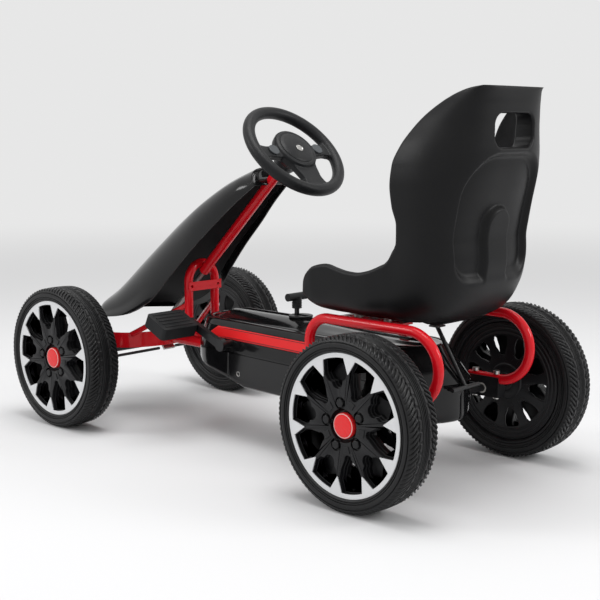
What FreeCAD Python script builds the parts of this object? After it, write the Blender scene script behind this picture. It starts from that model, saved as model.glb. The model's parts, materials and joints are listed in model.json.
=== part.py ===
"""Pedal go kart for a child: one solid per piece, one STEP file per node.

Frame: +Z up, ground at z = 0, -Y is the front of the kart and +X its left side.
The origin is on the ground, midway between the axles and midway between the wheels.
All lengths are in millimetres.
"""
import FreeCAD, Part
import math
import os

V = FreeCAD.Vector
X_AXIS = V(1, 0, 0)

# ---------------------------------------------------------------- driving dimensions
WHEELBASE = 840.0            # front axle to rear axle
FRONT_FACE_X = 281.9         # outer face of a front tyre from the middle plane
REAR_FACE_X = 278.0          # outer face of a rear tyre from the middle plane
TYRE_RADIUS = 152.5          # 12 inch wheel
TYRE_WIDTH = 74.0
RIM_RADIUS = 124.7           # outer radius of rim barrel and trim ring
RING_DEPTH = 4.0             # trim ring face sits this far inside the tyre face
RING_THICK = 2.5
RING_BAND = 8.4              # radial width of the trim ring's band
TOOTH_TIP_RADIUS = 90.0      # the ring's triangular teeth end here
SPOKE_PAIRS = 5
WHEEL_PHASE = 11.0                    # pocket's angle from the top, towards the front, in degrees

SPINE_RADIUS = 12.5          # main tube
SPINE_Z = 173.0
TUBE_RADIUS = 9.5            # side bars, hoop and cross tubes
TUBE_WALL = 1.8
SIDE_BAR_X = 140.0
SIDE_BAR_TOP_Z = 301.5
SIDE_BAR_LOW_Z = 172.5
FRONT_BEND_RADIUS = 45.0
FRONT_LEG_Y = 219.0
REAR_BEND_Y = 453.0
SIDE_BAR_END_Y = 384.0

STEER_CENTRE = V(0, 43.7, 600.6)     # middle of the steering wheel's rim
STEER_ELEVATION = 43.8               # degrees, column above the horizontal
STEER_RIM_RADIUS = 105.0
STEER_GRIP_RADIUS = 12.6
STEER_LENGTH = 608.0                 # wheel centre to the lower end of the shaft
COLUMN_RADIUS = 11.0
COLUMN_TOP = 62.0                    # column tube's upper end, measured down the axis
COLUMN_END = 385.0
SHAFT_RADIUS = 6.0
PITMAN_REACH = 44.0

HOOP_Y = -242.0
HOOP_HALF = 38.0
HOOP_TOP_Z = 352.0

AXLE_BEAM_RADIUS = 10.0
KINGPIN_X = 186.0
KINGPIN_RADIUS = 5.0
KNUCKLE_ARM = V(-8, 52, 0)           # kingpin to tie rod joint, left side
TIE_ROD_RADIUS = 3.2
STUB_RADIUS = 6.0
REAR_AXLE_RADIUS = 7.0

CRANK_Y = -58.0
CRANK_Z = 206.0
CRANK_AXLE_RADIUS = 8.0
CRANK_LENGTH = 100.0
CRANK_ANGLE = 22.0                   # degrees, left arm above the forward horizontal
CRANK_ARM_X = 106.0                  # inner face of a crank arm
CRANK_ARM_THICK = 11.0
PEDAL_WIDTH = 92.0
PEDAL_DEPTH = 64.0
PEDAL_THICK = 26.0
PEDAL_TILT = 25.0
CHAIN_PITCH = 12.7
CHAINRING_TEETH = 22
SPROCKET_TEETH = 14
CHAIN_X = 32.0
CHAIN_WIDTH = 7.0
CHAIN_HEIGHT = 6.4

FAIRING_HALF = 100.0                 # chain fairing, widest half width
FAIRING_FRONT_HALF = 85.0
FAIRING_FRONT_Y = -120.0             # centre of the rounded front
FAIRING_TAPER_Y = 150.0
FAIRING_TAIL_Y = 370.0
FAIRING_END_Y = 465.0
FAIRING_LOW_Z = 116.0
FAIRING_SEAM_Z = 189.0
FAIRING_TOP_Z = 250.0
FAIRING_WALL = 2.5
DOME_HEIGHT = 15.0

SEAT_BOTTOM_Z = 311.5
SEAT_WALL = 16.0
HANDLE_HALF = 50.0
HANDLE_LOW_Z = 613.0
HANDLE_HIGH_Z = 671.0
SEAT_BOLT_X = 95.0
SEAT_BOLT_YS = (300.0, 370.0)
SEAT_TRAVEL = 20.0                   # how far the seat shifts each way along its slots
SEAT_BOLT_RADIUS = 4.0

LEVER_Y = 51.0
LEVER_PIVOT_Z = 222.0
LEVER_ARM = 20.0                     # pivot to brake rod
LEVER_TOP_Z = 306.0
BRAKE_TRAVEL = 8.7

RUN_FIT = 0.05                       # radial clearance of a turning fit
FACE_GAP = 0.3                       # gap between faces that move past each other

# ---------------------------------------------------------------- places that follow from them
FRONT_Y = -WHEELBASE / 2
REAR_Y = WHEELBASE / 2
AXLE_Z = TYRE_RADIUS
STEER_AXIS = V(0, math.cos(math.radians(STEER_ELEVATION)), math.sin(math.radians(STEER_ELEVATION)))
STEER_DOWN = V(0, STEER_AXIS.z, -STEER_AXIS.y)
CHAINRING_RADIUS = CHAIN_PITCH / 2 / math.sin(math.pi / CHAINRING_TEETH)
SPROCKET_RADIUS = CHAIN_PITCH / 2 / math.sin(math.pi / SPROCKET_TEETH)
REAR_BEND_RADIUS = (SIDE_BAR_TOP_Z - SIDE_BAR_LOW_Z) / 2
REAR_TUBE_Y = REAR_Y - SPROCKET_RADIUS - CHAIN_HEIGHT - TUBE_RADIUS - 4.0
REAR_TUBE_Z = AXLE_Z + 15.5
HUB_INNER = 68.0                     # hub's inner face, measured inwards from the tyre face
CAP_FLOOR = 16.0
NUT_FLOOR = 24.0


# ---------------------------------------------------------------- helpers
def bar(radius, start, end):
    """Round bar between two points."""
    return Part.makeCylinder(radius, (end - start).Length, start, end - start)


def pipe(outer, inner, start, end):
    """Straight tube between two points."""
    return bar(outer, start, end).cut(bar(inner, start, end))


def block(x0, x1, y0, y1, z0, z1):
    """Box from its low and high corner values."""
    return Part.makeBox(x1 - x0, y1 - y0, z1 - z0, V(x0, y0, z0))


def mirrored(shape):
    """The same piece on the other side of the middle plane."""
    return shape.mirror(V(0, 0, 0), X_AXIS)


def fused(shapes):
    """One solid from pieces that are welded or moulded together."""
    return shapes[0].multiFuse(shapes[1:]).removeSplitter()


def group(shapes):
    """Separate solids that share one node."""
    return Part.makeCompound(shapes)


def prism(points, direction):
    """Solid from a closed outline of straight sides, pushed along a direction."""
    wire = Part.makePolygon(points + [points[0]])
    return Part.Face(wire).extrude(direction)


def rounded_path(points, radii):
    """Straight runs joined by tangent arcs, with one radius for each inner point."""
    edges = []
    start = points[0]
    for before, corner, after, radius in zip(points, points[1:], points[2:], radii):
        back = (before - corner).normalize()
        ahead = (after - corner).normalize()
        half = back.getAngle(ahead) / 2
        reach = radius / math.tan(half)
        first = corner + back * reach
        last = corner + ahead * reach
        middle = corner + (back + ahead).normalize() * (radius / math.sin(half) - radius)
        if (first - start).Length > 1e-6:
            edges.append(Part.LineSegment(start, first).toShape())
        edges.append(Part.Arc(first, middle, last).toShape())
        start = last
    if (points[-1] - start).Length > 1e-6:
        edges.append(Part.LineSegment(start, points[-1]).toShape())
    return Part.Wire(edges)


def swept(path, radius):
    """Round section carried along a path."""
    first = path.Edges[0]
    at = first.valueAt(first.FirstParameter)
    along = first.tangentAt(first.FirstParameter)
    circle = Part.Wire(Part.makeCircle(radius, at, along))
    return path.makePipeShell([circle], True, False)


def bent_tube(points, radii, outer=TUBE_RADIUS, wall=TUBE_WALL):
    """Hollow tube bent along a rounded path."""
    path = rounded_path(points, radii)
    return swept(path, outer).cut(swept(path, outer - wall))


def turned(profile, centre=V(0, 0, 0)):
    """Solid of revolution about an X axis, from (x, radius) pairs."""
    wire = Part.makePolygon([V(x, 0, r) for x, r in profile + [profile[0]]])
    solid = Part.Face(wire).revolve(V(0, 0, 0), X_AXIS, 360)
    solid.translate(centre)
    return solid


def on_column(shape):
    """Carry a piece drawn about the Z axis on to the steering axis, wheel centre at its origin."""
    turn = FreeCAD.Rotation(X_AXIS, -(90.0 - STEER_ELEVATION))
    return shape.transformed(FreeCAD.Placement(STEER_CENTRE, turn).toMatrix())


def column_point(down, across=0.0):
    """Point at a distance down the steering axis, and away from it towards the driver's feet."""
    return STEER_CENTRE - STEER_AXIS * down + STEER_DOWN * across


# ---------------------------------------------------------------- wheels
def wheel_sector(radius_in, radius_out, half_angle, x0, x1):
    """Block with straight sides across a wheel's face, for one window, pocket or tooth."""
    low = math.radians(half_angle)
    corners = []
    for radius, sign in ((radius_in, -1), (radius_out, -1), (radius_out, 1), (radius_in, 1)):
        corners.append(V(x0, radius * math.sin(sign * low), radius * math.cos(low)))
    return prism(corners, V(x1 - x0, 0, 0))


def around(shape, count, first=0.0):
    """Copies of a piece spaced evenly about the X axis."""
    copies = []
    for index in range(count):
        copy = shape.copy()
        copy.rotate(V(0, 0, 0), X_AXIS, first + index * 360.0 / count)
        copies.append(copy)
    return copies


def tyre_solid():
    """Foam tyre about the X axis, outer face at x = 0 and its width towards negative x."""
    shoulder = TYRE_RADIUS - 3.5
    wall = TYRE_RADIUS - 12.5
    half = [(-3.0, RIM_RADIUS), (0.0, RIM_RADIUS + 5.3), (0.0, wall), (-7.0, shoulder), (-16.0, TYRE_RADIUS)]
    other = [(-TYRE_WIDTH - x, r) for x, r in reversed(half)]
    return turned(half + other)


def rim_solid(bore):
    """Spoked plastic rim with a hub, five windows, five pockets, five moulded nuts and a back web."""
    face = -RING_DEPTH - RING_THICK
    inner = -TYRE_WIDTH + 3.0
    barrel_in = RIM_RADIUS - 5.7
    web_back = face - 11.5
    rim = turned([(face, 29.0), (face, RIM_RADIUS), (inner, RIM_RADIUS), (inner, barrel_in),
                  (web_back, barrel_in), (web_back, 34.0), (-HUB_INNER, 34.0), (-HUB_INNER, bore),
                  (-NUT_FLOOR, bore), (-NUT_FLOOR, 13.5), (-CAP_FLOOR, 13.5), (-CAP_FLOOR, 29.0)])
    web = turned([(inner + 9.0, 33.0), (inner + 9.0, barrel_in + 0.5), (inner + 5.0, barrel_in + 0.5), (inner + 5.0, 33.0)])
    opening = wheel_sector(52.0, 92.0, 8.5, inner + 4.0, inner + 10.0)
    web = web.cut(Part.makeCompound(around(opening, 2 * SPOKE_PAIRS, WHEEL_PHASE)))
    rim = rim.fuse(web)
    pitch = 360.0 / SPOKE_PAIRS
    window = wheel_sector(58.0, 110.0, 9.5, web_back - 1.0, face + 1.0)
    windows = around(window, SPOKE_PAIRS, WHEEL_PHASE + pitch / 2)
    pockets = around(wheel_sector(62.0, 112.0, 8.0, web_back + 3.5, face + 1.0), SPOKE_PAIRS, WHEEL_PHASE)
    rim = rim.cut(Part.makeCompound(windows + pockets))
    hexagon = [V(face, 8.5 * math.sin(math.radians(a)), 39.0 + 8.5 * math.cos(math.radians(a)))
               for a in range(0, 360, 60)]
    return fused([rim] + around(prism(hexagon, V(4.0, 0, 0)), SPOKE_PAIRS, WHEEL_PHASE))


def trim_ring_solid():
    """Silver ring with inward teeth, one between each window and pocket."""
    back = -RING_DEPTH - RING_THICK
    inner = RIM_RADIUS - RING_BAND
    band = turned([(back, inner), (back, RIM_RADIUS), (-RING_DEPTH, RIM_RADIUS), (-RING_DEPTH, inner)])
    half = 13.5
    corners = [V(back, -half, inner + 1.5), V(back, half, inner + 1.5), V(back, 0, TOOTH_TIP_RADIUS)]
    teeth = around(prism(corners, V(RING_THICK, 0, 0)), 2 * SPOKE_PAIRS, WHEEL_PHASE + 90.0 / SPOKE_PAIRS)
    return fused([band] + teeth)


def centre_cap_solid():
    """Cup shaped cap over the axle nut."""
    return turned([(-CAP_FLOOR, 18.0), (-CAP_FLOOR, 22.0), (-6.0, 22.0), (-5.0, 20.5), (-5.0, 0.0),
                   (-8.0, 0.0), (-8.0, 18.0)])


def axle_nut(tip_x, toward):
    """Hexagonal nut on the end of a stub, drawn about the X axis."""
    hexagon = [V(tip_x, 10.0 * math.cos(math.radians(a)), 10.0 * math.sin(math.radians(a)))
               for a in range(0, 360, 60)]
    return prism(hexagon, V(toward, 0, 0))


def place_wheel(shape, side, face_x, axle_y):
    """Move a wheel piece to its axle; the right side is the mirror image of the left."""
    moved = shape.copy()
    moved.translate(V(face_x, axle_y, AXLE_Z))
    return moved if side == "left" else mirrored(moved)


def wheels():
    """Tyre, rim, trim ring and cap of each of the four wheels."""
    nodes = {}
    ends = (("front", FRONT_FACE_X, FRONT_Y, STUB_RADIUS), ("rear", REAR_FACE_X, REAR_Y, REAR_AXLE_RADIUS))
    for end, face_x, axle_y, shaft in ends:
        pieces = {"tyre": tyre_solid(), "rim": rim_solid(shaft + RUN_FIT), "trim_ring": trim_ring_solid(),
                  "centre_cap": centre_cap_solid()}
        for side in ("left", "right"):
            for name, shape in pieces.items():
                nodes[f"{end}_{side}_{name}"] = place_wheel(shape, side, face_x, axle_y)
    nodes["rear_left_rim"] = place_wheel(rim_solid(REAR_AXLE_RADIUS), "left", REAR_FACE_X, REAR_Y)
    return nodes


# ---------------------------------------------------------------- front axle and steering
FORK_LOW = AXLE_Z - 22.5             # underside of the fork's lower ear
FORK_HIGH = AXLE_Z + 19.5            # top of its upper ear
EAR_THICK = 4.0
ARM_LOW = FORK_LOW + EAR_THICK + 2.0
ARM_THICK = 5.0
FORK_HALF = 12.0


def kingpin_line(x=KINGPIN_X, low=FORK_LOW, high=FORK_HIGH):
    """Ends of a vertical line at the left kingpin."""
    return V(x, FRONT_Y, low), V(x, FRONT_Y, high)


def front_beam():
    """Cross beam with a fork at each end for the knuckles."""
    web_x = KINGPIN_X - 26.0
    tube = pipe(AXLE_BEAM_RADIUS, AXLE_BEAM_RADIUS - TUBE_WALL, V(-web_x, FRONT_Y, AXLE_Z), V(web_x, FRONT_Y, AXLE_Z))
    y0, y1 = FRONT_Y - FORK_HALF, FRONT_Y + FORK_HALF
    x1 = KINGPIN_X + FORK_HALF
    fork = fused([block(web_x, web_x + 5.0, y0, y1, FORK_LOW, FORK_HIGH),
                  block(web_x, x1, y0, y1, FORK_HIGH - EAR_THICK, FORK_HIGH),
                  block(web_x, x1, y0, y1, FORK_LOW, FORK_LOW + EAR_THICK)])
    fork = fork.cut(bar(KINGPIN_RADIUS + RUN_FIT, *kingpin_line()))
    return fused([tube, fork, mirrored(fork)])


def kingpin_bolts():
    """One bolt through each fork, with its head above and its nut below."""
    low, high = FORK_LOW - 9.0, FORK_HIGH + 5.0
    bolt = fused([bar(KINGPIN_RADIUS, *kingpin_line(low=low, high=high)),
                  bar(8.0, *kingpin_line(low=FORK_HIGH, high=high)),
                  bar(8.0, *kingpin_line(low=low + 2.0, high=FORK_LOW))])
    return group([bolt, mirrored(bolt)])


def knuckle_left():
    """Sleeve on the kingpin with the stub axle and the steering arm welded to it."""
    low = FORK_LOW + EAR_THICK + FACE_GAP
    high = FORK_HIGH - EAR_THICK - FACE_GAP
    sleeve = bar(10.0, *kingpin_line(low=low, high=high))
    hub_x = FRONT_FACE_X - HUB_INNER
    stub = bar(STUB_RADIUS, V(KINGPIN_X, FRONT_Y, AXLE_Z), V(FRONT_FACE_X - 10.0, FRONT_Y, AXLE_Z))
    collar = bar(9.0, V(KINGPIN_X, FRONT_Y, AXLE_Z), V(hub_x - FACE_GAP, FRONT_Y, AXLE_Z))
    root = V(KINGPIN_X, FRONT_Y, ARM_LOW)
    tip = root + KNUCKLE_ARM
    side = V(7.0, 0, 0)
    arm = prism([root - side, root + side, tip + side, tip - side], V(0, 0, ARM_THICK))
    arm = fused([arm, bar(7.0, tip, tip + V(0, 0, ARM_THICK))])
    whole = fused([sleeve, collar, stub, arm])
    return whole.cut(bar(KINGPIN_RADIUS + RUN_FIT, *kingpin_line())).cut(
        bar(4.0 + RUN_FIT, tip - V(0, 0, 1.0), tip + V(0, 0, ARM_THICK + 1.0)))


def tie_rod_left():
    """Rod from the knuckle arm to the lower end of the steering shaft, open there by a gap."""
    joint = V(KINGPIN_X, FRONT_Y, ARM_LOW) + KNUCKLE_ARM
    eye_low = joint + V(0, 0, ARM_THICK + FACE_GAP)
    eye_high = eye_low + V(0, 0, 2 * TIE_ROD_RADIUS + 1.0)
    inner = column_point(STEER_LENGTH, PITMAN_REACH)
    inner_end = V(24.0, inner.y, inner.z - 1.5)
    return fused([bar(4.0, joint - V(0, 0, 4.0), eye_low), bar(8.0, eye_low, eye_high),
                  bar(TIE_ROD_RADIUS, (eye_low + eye_high) / 2, inner_end)])


def front_stub_nut():
    """Nut that keeps the left front wheel on its stub."""
    nut = axle_nut(FRONT_FACE_X - NUT_FLOOR + FACE_GAP, 9.5)
    nut.translate(V(0, FRONT_Y, AXLE_Z))
    return nut.cut(bar(STUB_RADIUS, V(0, FRONT_Y, AXLE_Z), V(FRONT_FACE_X, FRONT_Y, AXLE_Z)))


def steering_shaft():
    """Rod down the column with the plate that moves the tie rods welded to its end."""
    rod = bar(SHAFT_RADIUS, column_point(STEER_LENGTH), column_point(20.0))
    start = column_point(STEER_LENGTH, -14.0)
    end = column_point(STEER_LENGTH, PITMAN_REACH + 8.0)
    half_top, half_low = V(10.0, 0, 0), V(16.0, 0, 0)
    plate = prism([start - half_top, start + half_top, end + half_low, end - half_low], STEER_AXIS * 5.0)
    return fused([rod, plate])


def steering_wheel():
    """Round rim, hub and three spokes as one moulding."""
    rim = Part.makeTorus(STEER_RIM_RADIUS, STEER_GRIP_RADIUS)
    hub = Part.makeCylinder(38.0, 26.0, V(0, 0, -16.0))
    neck = Part.makeCone(19.0, 30.0, 40.0, V(0, 0, -54.0))
    reach = STEER_RIM_RADIUS - STEER_GRIP_RADIUS / 2
    side = block(20.0, reach, -13.0, 15.0, -9.0, 5.0)
    low_points = [V(-26.0, 20.0, -9.0), V(26.0, 20.0, -9.0), V(15.0, reach, -9.0), V(-15.0, reach, -9.0)]
    low = prism(low_points, V(0, 0, 13.0))
    whole = fused([rim, hub, neck, side, mirrored(side), low])
    whole = whole.cut(Part.makeCylinder(SHAFT_RADIUS, 60.0, V(0, 0, -56.0)))
    for sign in (1, -1):
        whole = whole.cut(Part.makeCylinder(BUTTON_RADIUS + FACE_GAP, 8.0, V(sign * BUTTON_X, 1.0, 0.0)))
    return on_column(whole.cut(Part.makeCylinder(32.0, 4.0, V(0, 0, 8.0))))


BUTTON_X = 62.0
BUTTON_RADIUS = 10.0


def wheel_button(sign):
    """Round push button in a side spoke."""
    return on_column(Part.makeCylinder(BUTTON_RADIUS, 5.0, V(sign * BUTTON_X, 1.0, 2.5)))


def hub_cover():
    """Domed pad in the recess of the steering wheel's hub."""
    return on_column(Part.makeCone(31.8, 27.0, 6.0, V(0, 0, 8.0)))


def column_tube(hoop):
    """Tube round the steering shaft, coped where it meets the hoop."""
    tube = bar(COLUMN_RADIUS, column_point(COLUMN_END), column_point(COLUMN_TOP))
    tube = tube.cut(bar(COLUMN_RADIUS - 2.5, column_point(COLUMN_END + 1), column_point(COLUMN_TOP - 1)))
    parts = tube.cut(hoop).Solids
    return max(parts, key=lambda solid: solid.Volume)


# ---------------------------------------------------------------- frame
BAND_X = 125.0                       # front yoke meets the axle beam here
BAND_REACH = 78.0                    # how far it bows behind the axle
BAND_LOW_Z = 157.0
BAND_HIGH_Z = 191.0
BAND_THICK = 4.0
FLANGE_WIDTH = 18.0
FOOT_DOWN = 565.0                    # lower steering bearing, down the axis


def half_ellipse(half_x, reach, z):
    """Face bounded by half an ellipse behind the front axle."""
    steps = 24
    points = [V(half_x * math.cos(math.pi * i / steps), FRONT_Y + reach * math.sin(math.pi * i / steps), z)
              for i in range(steps + 1)]
    return Part.Face(Part.makePolygon(points + [points[0]]))


def front_yoke():
    """Bowed plate from the axle beam to the main tube, with the lower steering bearing's lug."""
    height = V(0, 0, BAND_HIGH_Z - BAND_LOW_Z)
    outer = half_ellipse(BAND_X, BAND_REACH, BAND_LOW_Z).extrude(height)
    inner = half_ellipse(BAND_X - BAND_THICK, BAND_REACH - BAND_THICK, BAND_LOW_Z).extrude(height)
    floor_cut = half_ellipse(BAND_X - FLANGE_WIDTH, BAND_REACH - FLANGE_WIDTH, BAND_LOW_Z).extrude(height)
    flange = half_ellipse(BAND_X, BAND_REACH, BAND_LOW_Z).extrude(V(0, 0, 3.0)).cut(floor_cut)
    band = fused([outer.cut(inner), flange])
    start, end = column_point(FOOT_DOWN, -14.0), column_point(FOOT_DOWN, 33.0)
    half = V(14.0, 0, 0)
    lug = prism([start - half, start + half, end + half, end - half], STEER_AXIS * 6.0)
    lug = lug.cut(bar(8.0, column_point(FOOT_DOWN + 2), column_point(FOOT_DOWN - 8)))
    return fused([band, lug]).cut(bar(AXLE_BEAM_RADIUS, V(-BAND_X, FRONT_Y, AXLE_Z), V(BAND_X, FRONT_Y, AXLE_Z)))


def main_spine(front_y, cross_front, cross_rear):
    """Main tube with the crank hanger on it; the front cross tube passes through it."""
    start, end = V(0, front_y, SPINE_Z), V(0, REAR_TUBE_Y, SPINE_Z)
    tube = pipe(SPINE_RADIUS, SPINE_RADIUS - TUBE_WALL, start, end)
    hanger = bar(14.0, V(-24.0, CRANK_Y, CRANK_Z), V(24.0, CRANK_Y, CRANK_Z))
    saddle = block(-10.0, 10.0, CRANK_Y - 12.0, CRANK_Y + 12.0, SPINE_Z + 6.0, CRANK_Z)
    hollow = bar(SPINE_RADIUS - TUBE_WALL, start, end)
    bore = bar(11.0, V(-30.0, CRANK_Y, CRANK_Z), V(30.0, CRANK_Y, CRANK_Z))
    whole = fused([tube, hanger, saddle]).cut(hollow).cut(bore).cut(cross_front).cut(cross_rear)
    return max(whole.Solids, key=lambda solid: solid.Volume)


def cross_bar_solid(y, z, half):
    """Solid round bar across the kart, used to cut the holes that a cross tube needs."""
    return bar(TUBE_RADIUS, V(-half, y, z), V(half, y, z))


def steering_hoop():
    """Upright closed loop on the main tube with two stays to the front yoke."""
    low_z = SPINE_Z + SPINE_RADIUS + TUBE_RADIUS
    r = HOOP_HALF
    points = [V(0, HOOP_Y, HOOP_TOP_Z), V(r, HOOP_Y, HOOP_TOP_Z), V(r, HOOP_Y, low_z), V(0, HOOP_Y, low_z)]
    half = bent_tube(points, [r - 0.01, r - 0.01])
    stay = bar(6.0, V(HOOP_HALF, HOOP_Y - 4.0, 262.0), V(97.0, -372.0, BAND_HIGH_Z - 4.0))
    stay = stay.cut(bar(TUBE_RADIUS - 1.0, V(HOOP_HALF, HOOP_Y, 200.0), V(HOOP_HALF, HOOP_Y, 320.0)))
    loop = fused([half, mirrored(half), stay, mirrored(stay)])
    foot = bar(SPINE_RADIUS, V(0, HOOP_Y - 40.0, SPINE_Z), V(0, HOOP_Y + 40.0, SPINE_Z))
    holes = [bar(PLATE_HOLE_RADIUS, V(s * HOOP_HALF, HOOP_Y - 20, PLATE_Z), V(s * HOOP_HALF, HOOP_Y + 20, PLATE_Z))
             for s in (1, -1)]
    return fused([loop]).cut(foot).cut(Part.makeCompound(holes))


PLATE_Z = 303.0
PLATE_HOLE_RADIUS = 3.0
PLATE_THICK = 3.0


def hoop_plate():
    """Flat plate across the hoop's legs with a bolt hole at each end."""
    y0 = HOOP_Y + TUBE_RADIUS
    plate = block(-47.0, 47.0, y0, y0 + PLATE_THICK, PLATE_Z - 10.0, PLATE_Z + 10.0)
    holes = [bar(PLATE_HOLE_RADIUS, V(s * HOOP_HALF, y0 - 1, PLATE_Z), V(s * HOOP_HALF, y0 + 9, PLATE_Z))
             for s in (1, -1)]
    return plate.cut(Part.makeCompound(holes))


def side_bar_left():
    """C shaped bar beside the seat, from the front cross tube to the rear axle bracket."""
    rear = REAR_BEND_Y + REAR_BEND_RADIUS
    points = [V(SIDE_BAR_X, FRONT_LEG_Y, SIDE_BAR_LOW_Z + TUBE_RADIUS), V(SIDE_BAR_X, FRONT_LEG_Y, SIDE_BAR_TOP_Z),
              V(SIDE_BAR_X, rear, SIDE_BAR_TOP_Z), V(SIDE_BAR_X, rear, SIDE_BAR_LOW_Z),
              V(SIDE_BAR_X, SIDE_BAR_END_Y, SIDE_BAR_LOW_Z)]
    return bent_tube(points, [FRONT_BEND_RADIUS, REAR_BEND_RADIUS, REAR_BEND_RADIUS])


def side_bar_core_left():
    """The left side bar's outside as a solid, for shaping what is welded to it."""
    rear = REAR_BEND_Y + REAR_BEND_RADIUS
    points = [V(SIDE_BAR_X, FRONT_LEG_Y, SIDE_BAR_LOW_Z), V(SIDE_BAR_X, FRONT_LEG_Y, SIDE_BAR_TOP_Z),
              V(SIDE_BAR_X, rear, SIDE_BAR_TOP_Z), V(SIDE_BAR_X, rear, SIDE_BAR_LOW_Z),
              V(SIDE_BAR_X, SIDE_BAR_END_Y - 40.0, SIDE_BAR_LOW_Z)]
    path = rounded_path(points, [FRONT_BEND_RADIUS, REAR_BEND_RADIUS, REAR_BEND_RADIUS])
    return swept(path, TUBE_RADIUS)


def cross_tube(y, z, half):
    """Hollow tube across the kart."""
    return pipe(TUBE_RADIUS, TUBE_RADIUS - TUBE_WALL, V(-half, y, z), V(half, y, z))


BEARING_RADIUS = REAR_AXLE_RADIUS + 3.4
BRACKET_X0, BRACKET_X1 = 128.0, 152.0


def axle_bracket_left(core):
    """Block bolted under the side bar that holds the rear axle's bearing."""
    body = block(BRACKET_X0, BRACKET_X1, REAR_TUBE_Y - 13.0, REAR_BEND_Y + 4.0, BRACKET_LOW_Z,
                 SIDE_BAR_LOW_Z + 4.0)
    line = (V(BRACKET_X0 - 1, REAR_Y, AXLE_Z), V(BRACKET_X1 + 1, REAR_Y, AXLE_Z))
    body = body.cut(core).cut(bar(BEARING_RADIUS, *line))
    for y in BRACKET_BOLT_YS:
        body = body.cut(bracket_shank(y))
    return max(body.Solids, key=lambda solid: solid.Volume)


BRACKET_BOLT_YS = (398.0, 446.0)
BRACKET_BOLT_RADIUS = 3.0
BRACKET_LOW_Z = AXLE_Z - 15.0


def bracket_shank(y):
    """Shank of a bracket bolt on the left side, from under the bracket to the top of the bar."""
    return bar(BRACKET_BOLT_RADIUS, V(SIDE_BAR_X, y, BRACKET_LOW_Z), V(SIDE_BAR_X, y, SIDE_BAR_LOW_Z + TUBE_RADIUS))


def frame_bolts():
    """Bolts through side bars and axle brackets, with domed nuts on top."""
    solids = []
    top = SIDE_BAR_LOW_Z + TUBE_RADIUS
    for y in BRACKET_BOLT_YS:
        shank = bracket_shank(y)
        nut = bar(6.5, V(SIDE_BAR_X, y, top), V(SIDE_BAR_X, y, top + 6.0))
        head = bar(6.0, V(SIDE_BAR_X, y, BRACKET_LOW_Z - 4.0), V(SIDE_BAR_X, y, BRACKET_LOW_Z))
        bolt = fused([shank, nut, head])
        solids += [bolt, mirrored(bolt)]
    return group(solids)


def seat_plate_left(core):
    """Flat plate welded inside the side bar, with two slots for the seat bolts."""
    reach = SEAT_TRAVEL + SEAT_BOLT_RADIUS + 0.5
    y0, y1 = SEAT_BOLT_YS[0] - reach - 12.0, SEAT_BOLT_YS[1] + reach + 12.0
    plate = block(SEAT_BOLT_X - 25.0, SIDE_BAR_X, y0, y1, SIDE_BAR_TOP_Z - 2.0, SIDE_BAR_TOP_Z + 2.0).cut(core)
    for y in SEAT_BOLT_YS:
        slot = block(SEAT_BOLT_X - SEAT_BOLT_RADIUS - 0.5, SEAT_BOLT_X + SEAT_BOLT_RADIUS + 0.5,
                     y - reach, y + reach, SEAT_BELLY_Z, SEAT_BOTTOM_Z)
        plate = plate.cut(slot)
    return max(plate.Solids, key=lambda solid: solid.Volume)


def rear_stay():
    """Thin rod from under the seat down to a short cross rod behind the fairing."""
    y, z = FAIRING_END_Y + 9.0, 183.0
    top_z = SEAT_BELLY_Z - 2 * FACE_GAP
    top = V(0, 408.0, top_z - 3.0)
    rod = bar(4.0, V(0, y, z), top)
    cross = bar(4.0, V(-40.0, y, z), V(40.0, y, z))
    pad = block(-12.0, 12.0, 398.0, 418.0, top_z - 3.0, top_z)
    tabs = [block(x - 3.0, x + 3.0, FAIRING_END_Y - 14.0, y, z - 4.0, z + 4.0) for x in (-30.0, 30.0)]
    envelope = fairing_body(0.0)
    return fused([rod, cross, pad] + tabs).cut(envelope)


# ---------------------------------------------------------------- chain fairing
def fairing_outline(inset, z):
    """Closed plan outline at one height, drawn in by the inset on every side."""
    half = FAIRING_HALF - inset
    front = FAIRING_FRONT_HALF - inset
    y0, y1, y2 = FAIRING_FRONT_Y, FAIRING_TAPER_Y, FAIRING_TAIL_Y
    left = [V(front, y0, z), V(half, y1, z), V(half, y2, z)]
    right = [V(-p.x, p.y, z) for p in reversed(left)]
    edges = [Part.LineSegment(left[0], left[1]).toShape(), Part.LineSegment(left[1], left[2]).toShape(),
             Part.Arc(left[2], V(0, FAIRING_END_Y - inset, z), right[0]).toShape(),
             Part.LineSegment(right[0], right[1]).toShape(), Part.LineSegment(right[1], right[2]).toShape(),
             Part.Arc(right[2], V(0, y0 - front, z), left[0]).toShape()]
    return Part.Wire(edges)


def fairing_body(shrink):
    """Outside of the chain fairing as a solid, or its inside when shrunk by the wall."""
    levels = [(6.0, FAIRING_LOW_Z + shrink), (0.0, FAIRING_LOW_Z + 16.0), (0.0, FAIRING_SEAM_Z),
              (5.0, FAIRING_SEAM_Z + 24.0), (16.0, FAIRING_TOP_Z - 10.0), (26.0, FAIRING_TOP_Z - shrink)]
    wires = [fairing_outline(inset + shrink, z) for inset, z in levels]
    body = Part.makeLoft(wires, True, True)
    drop = shrink * 1.5
    tail = [V(-200, FAIRING_END_Y - 62.0, FAIRING_TOP_Z + 5 - drop), V(-200, FAIRING_END_Y + 30, FAIRING_TOP_Z + 5 - drop),
            V(-200, FAIRING_END_Y + 30, 158.0 - drop)]
    nose = [V(-200, FAIRING_FRONT_Y - 100, FAIRING_LOW_Z - 2 + drop), V(-200, FAIRING_FRONT_Y + 5, FAIRING_LOW_Z - 2 + drop),
            V(-200, FAIRING_FRONT_Y - 100, FAIRING_LOW_Z + 48 + drop)]
    return body.cut(prism(tail, V(400, 0, 0))).cut(prism(nose, V(400, 0, 0)))


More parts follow.
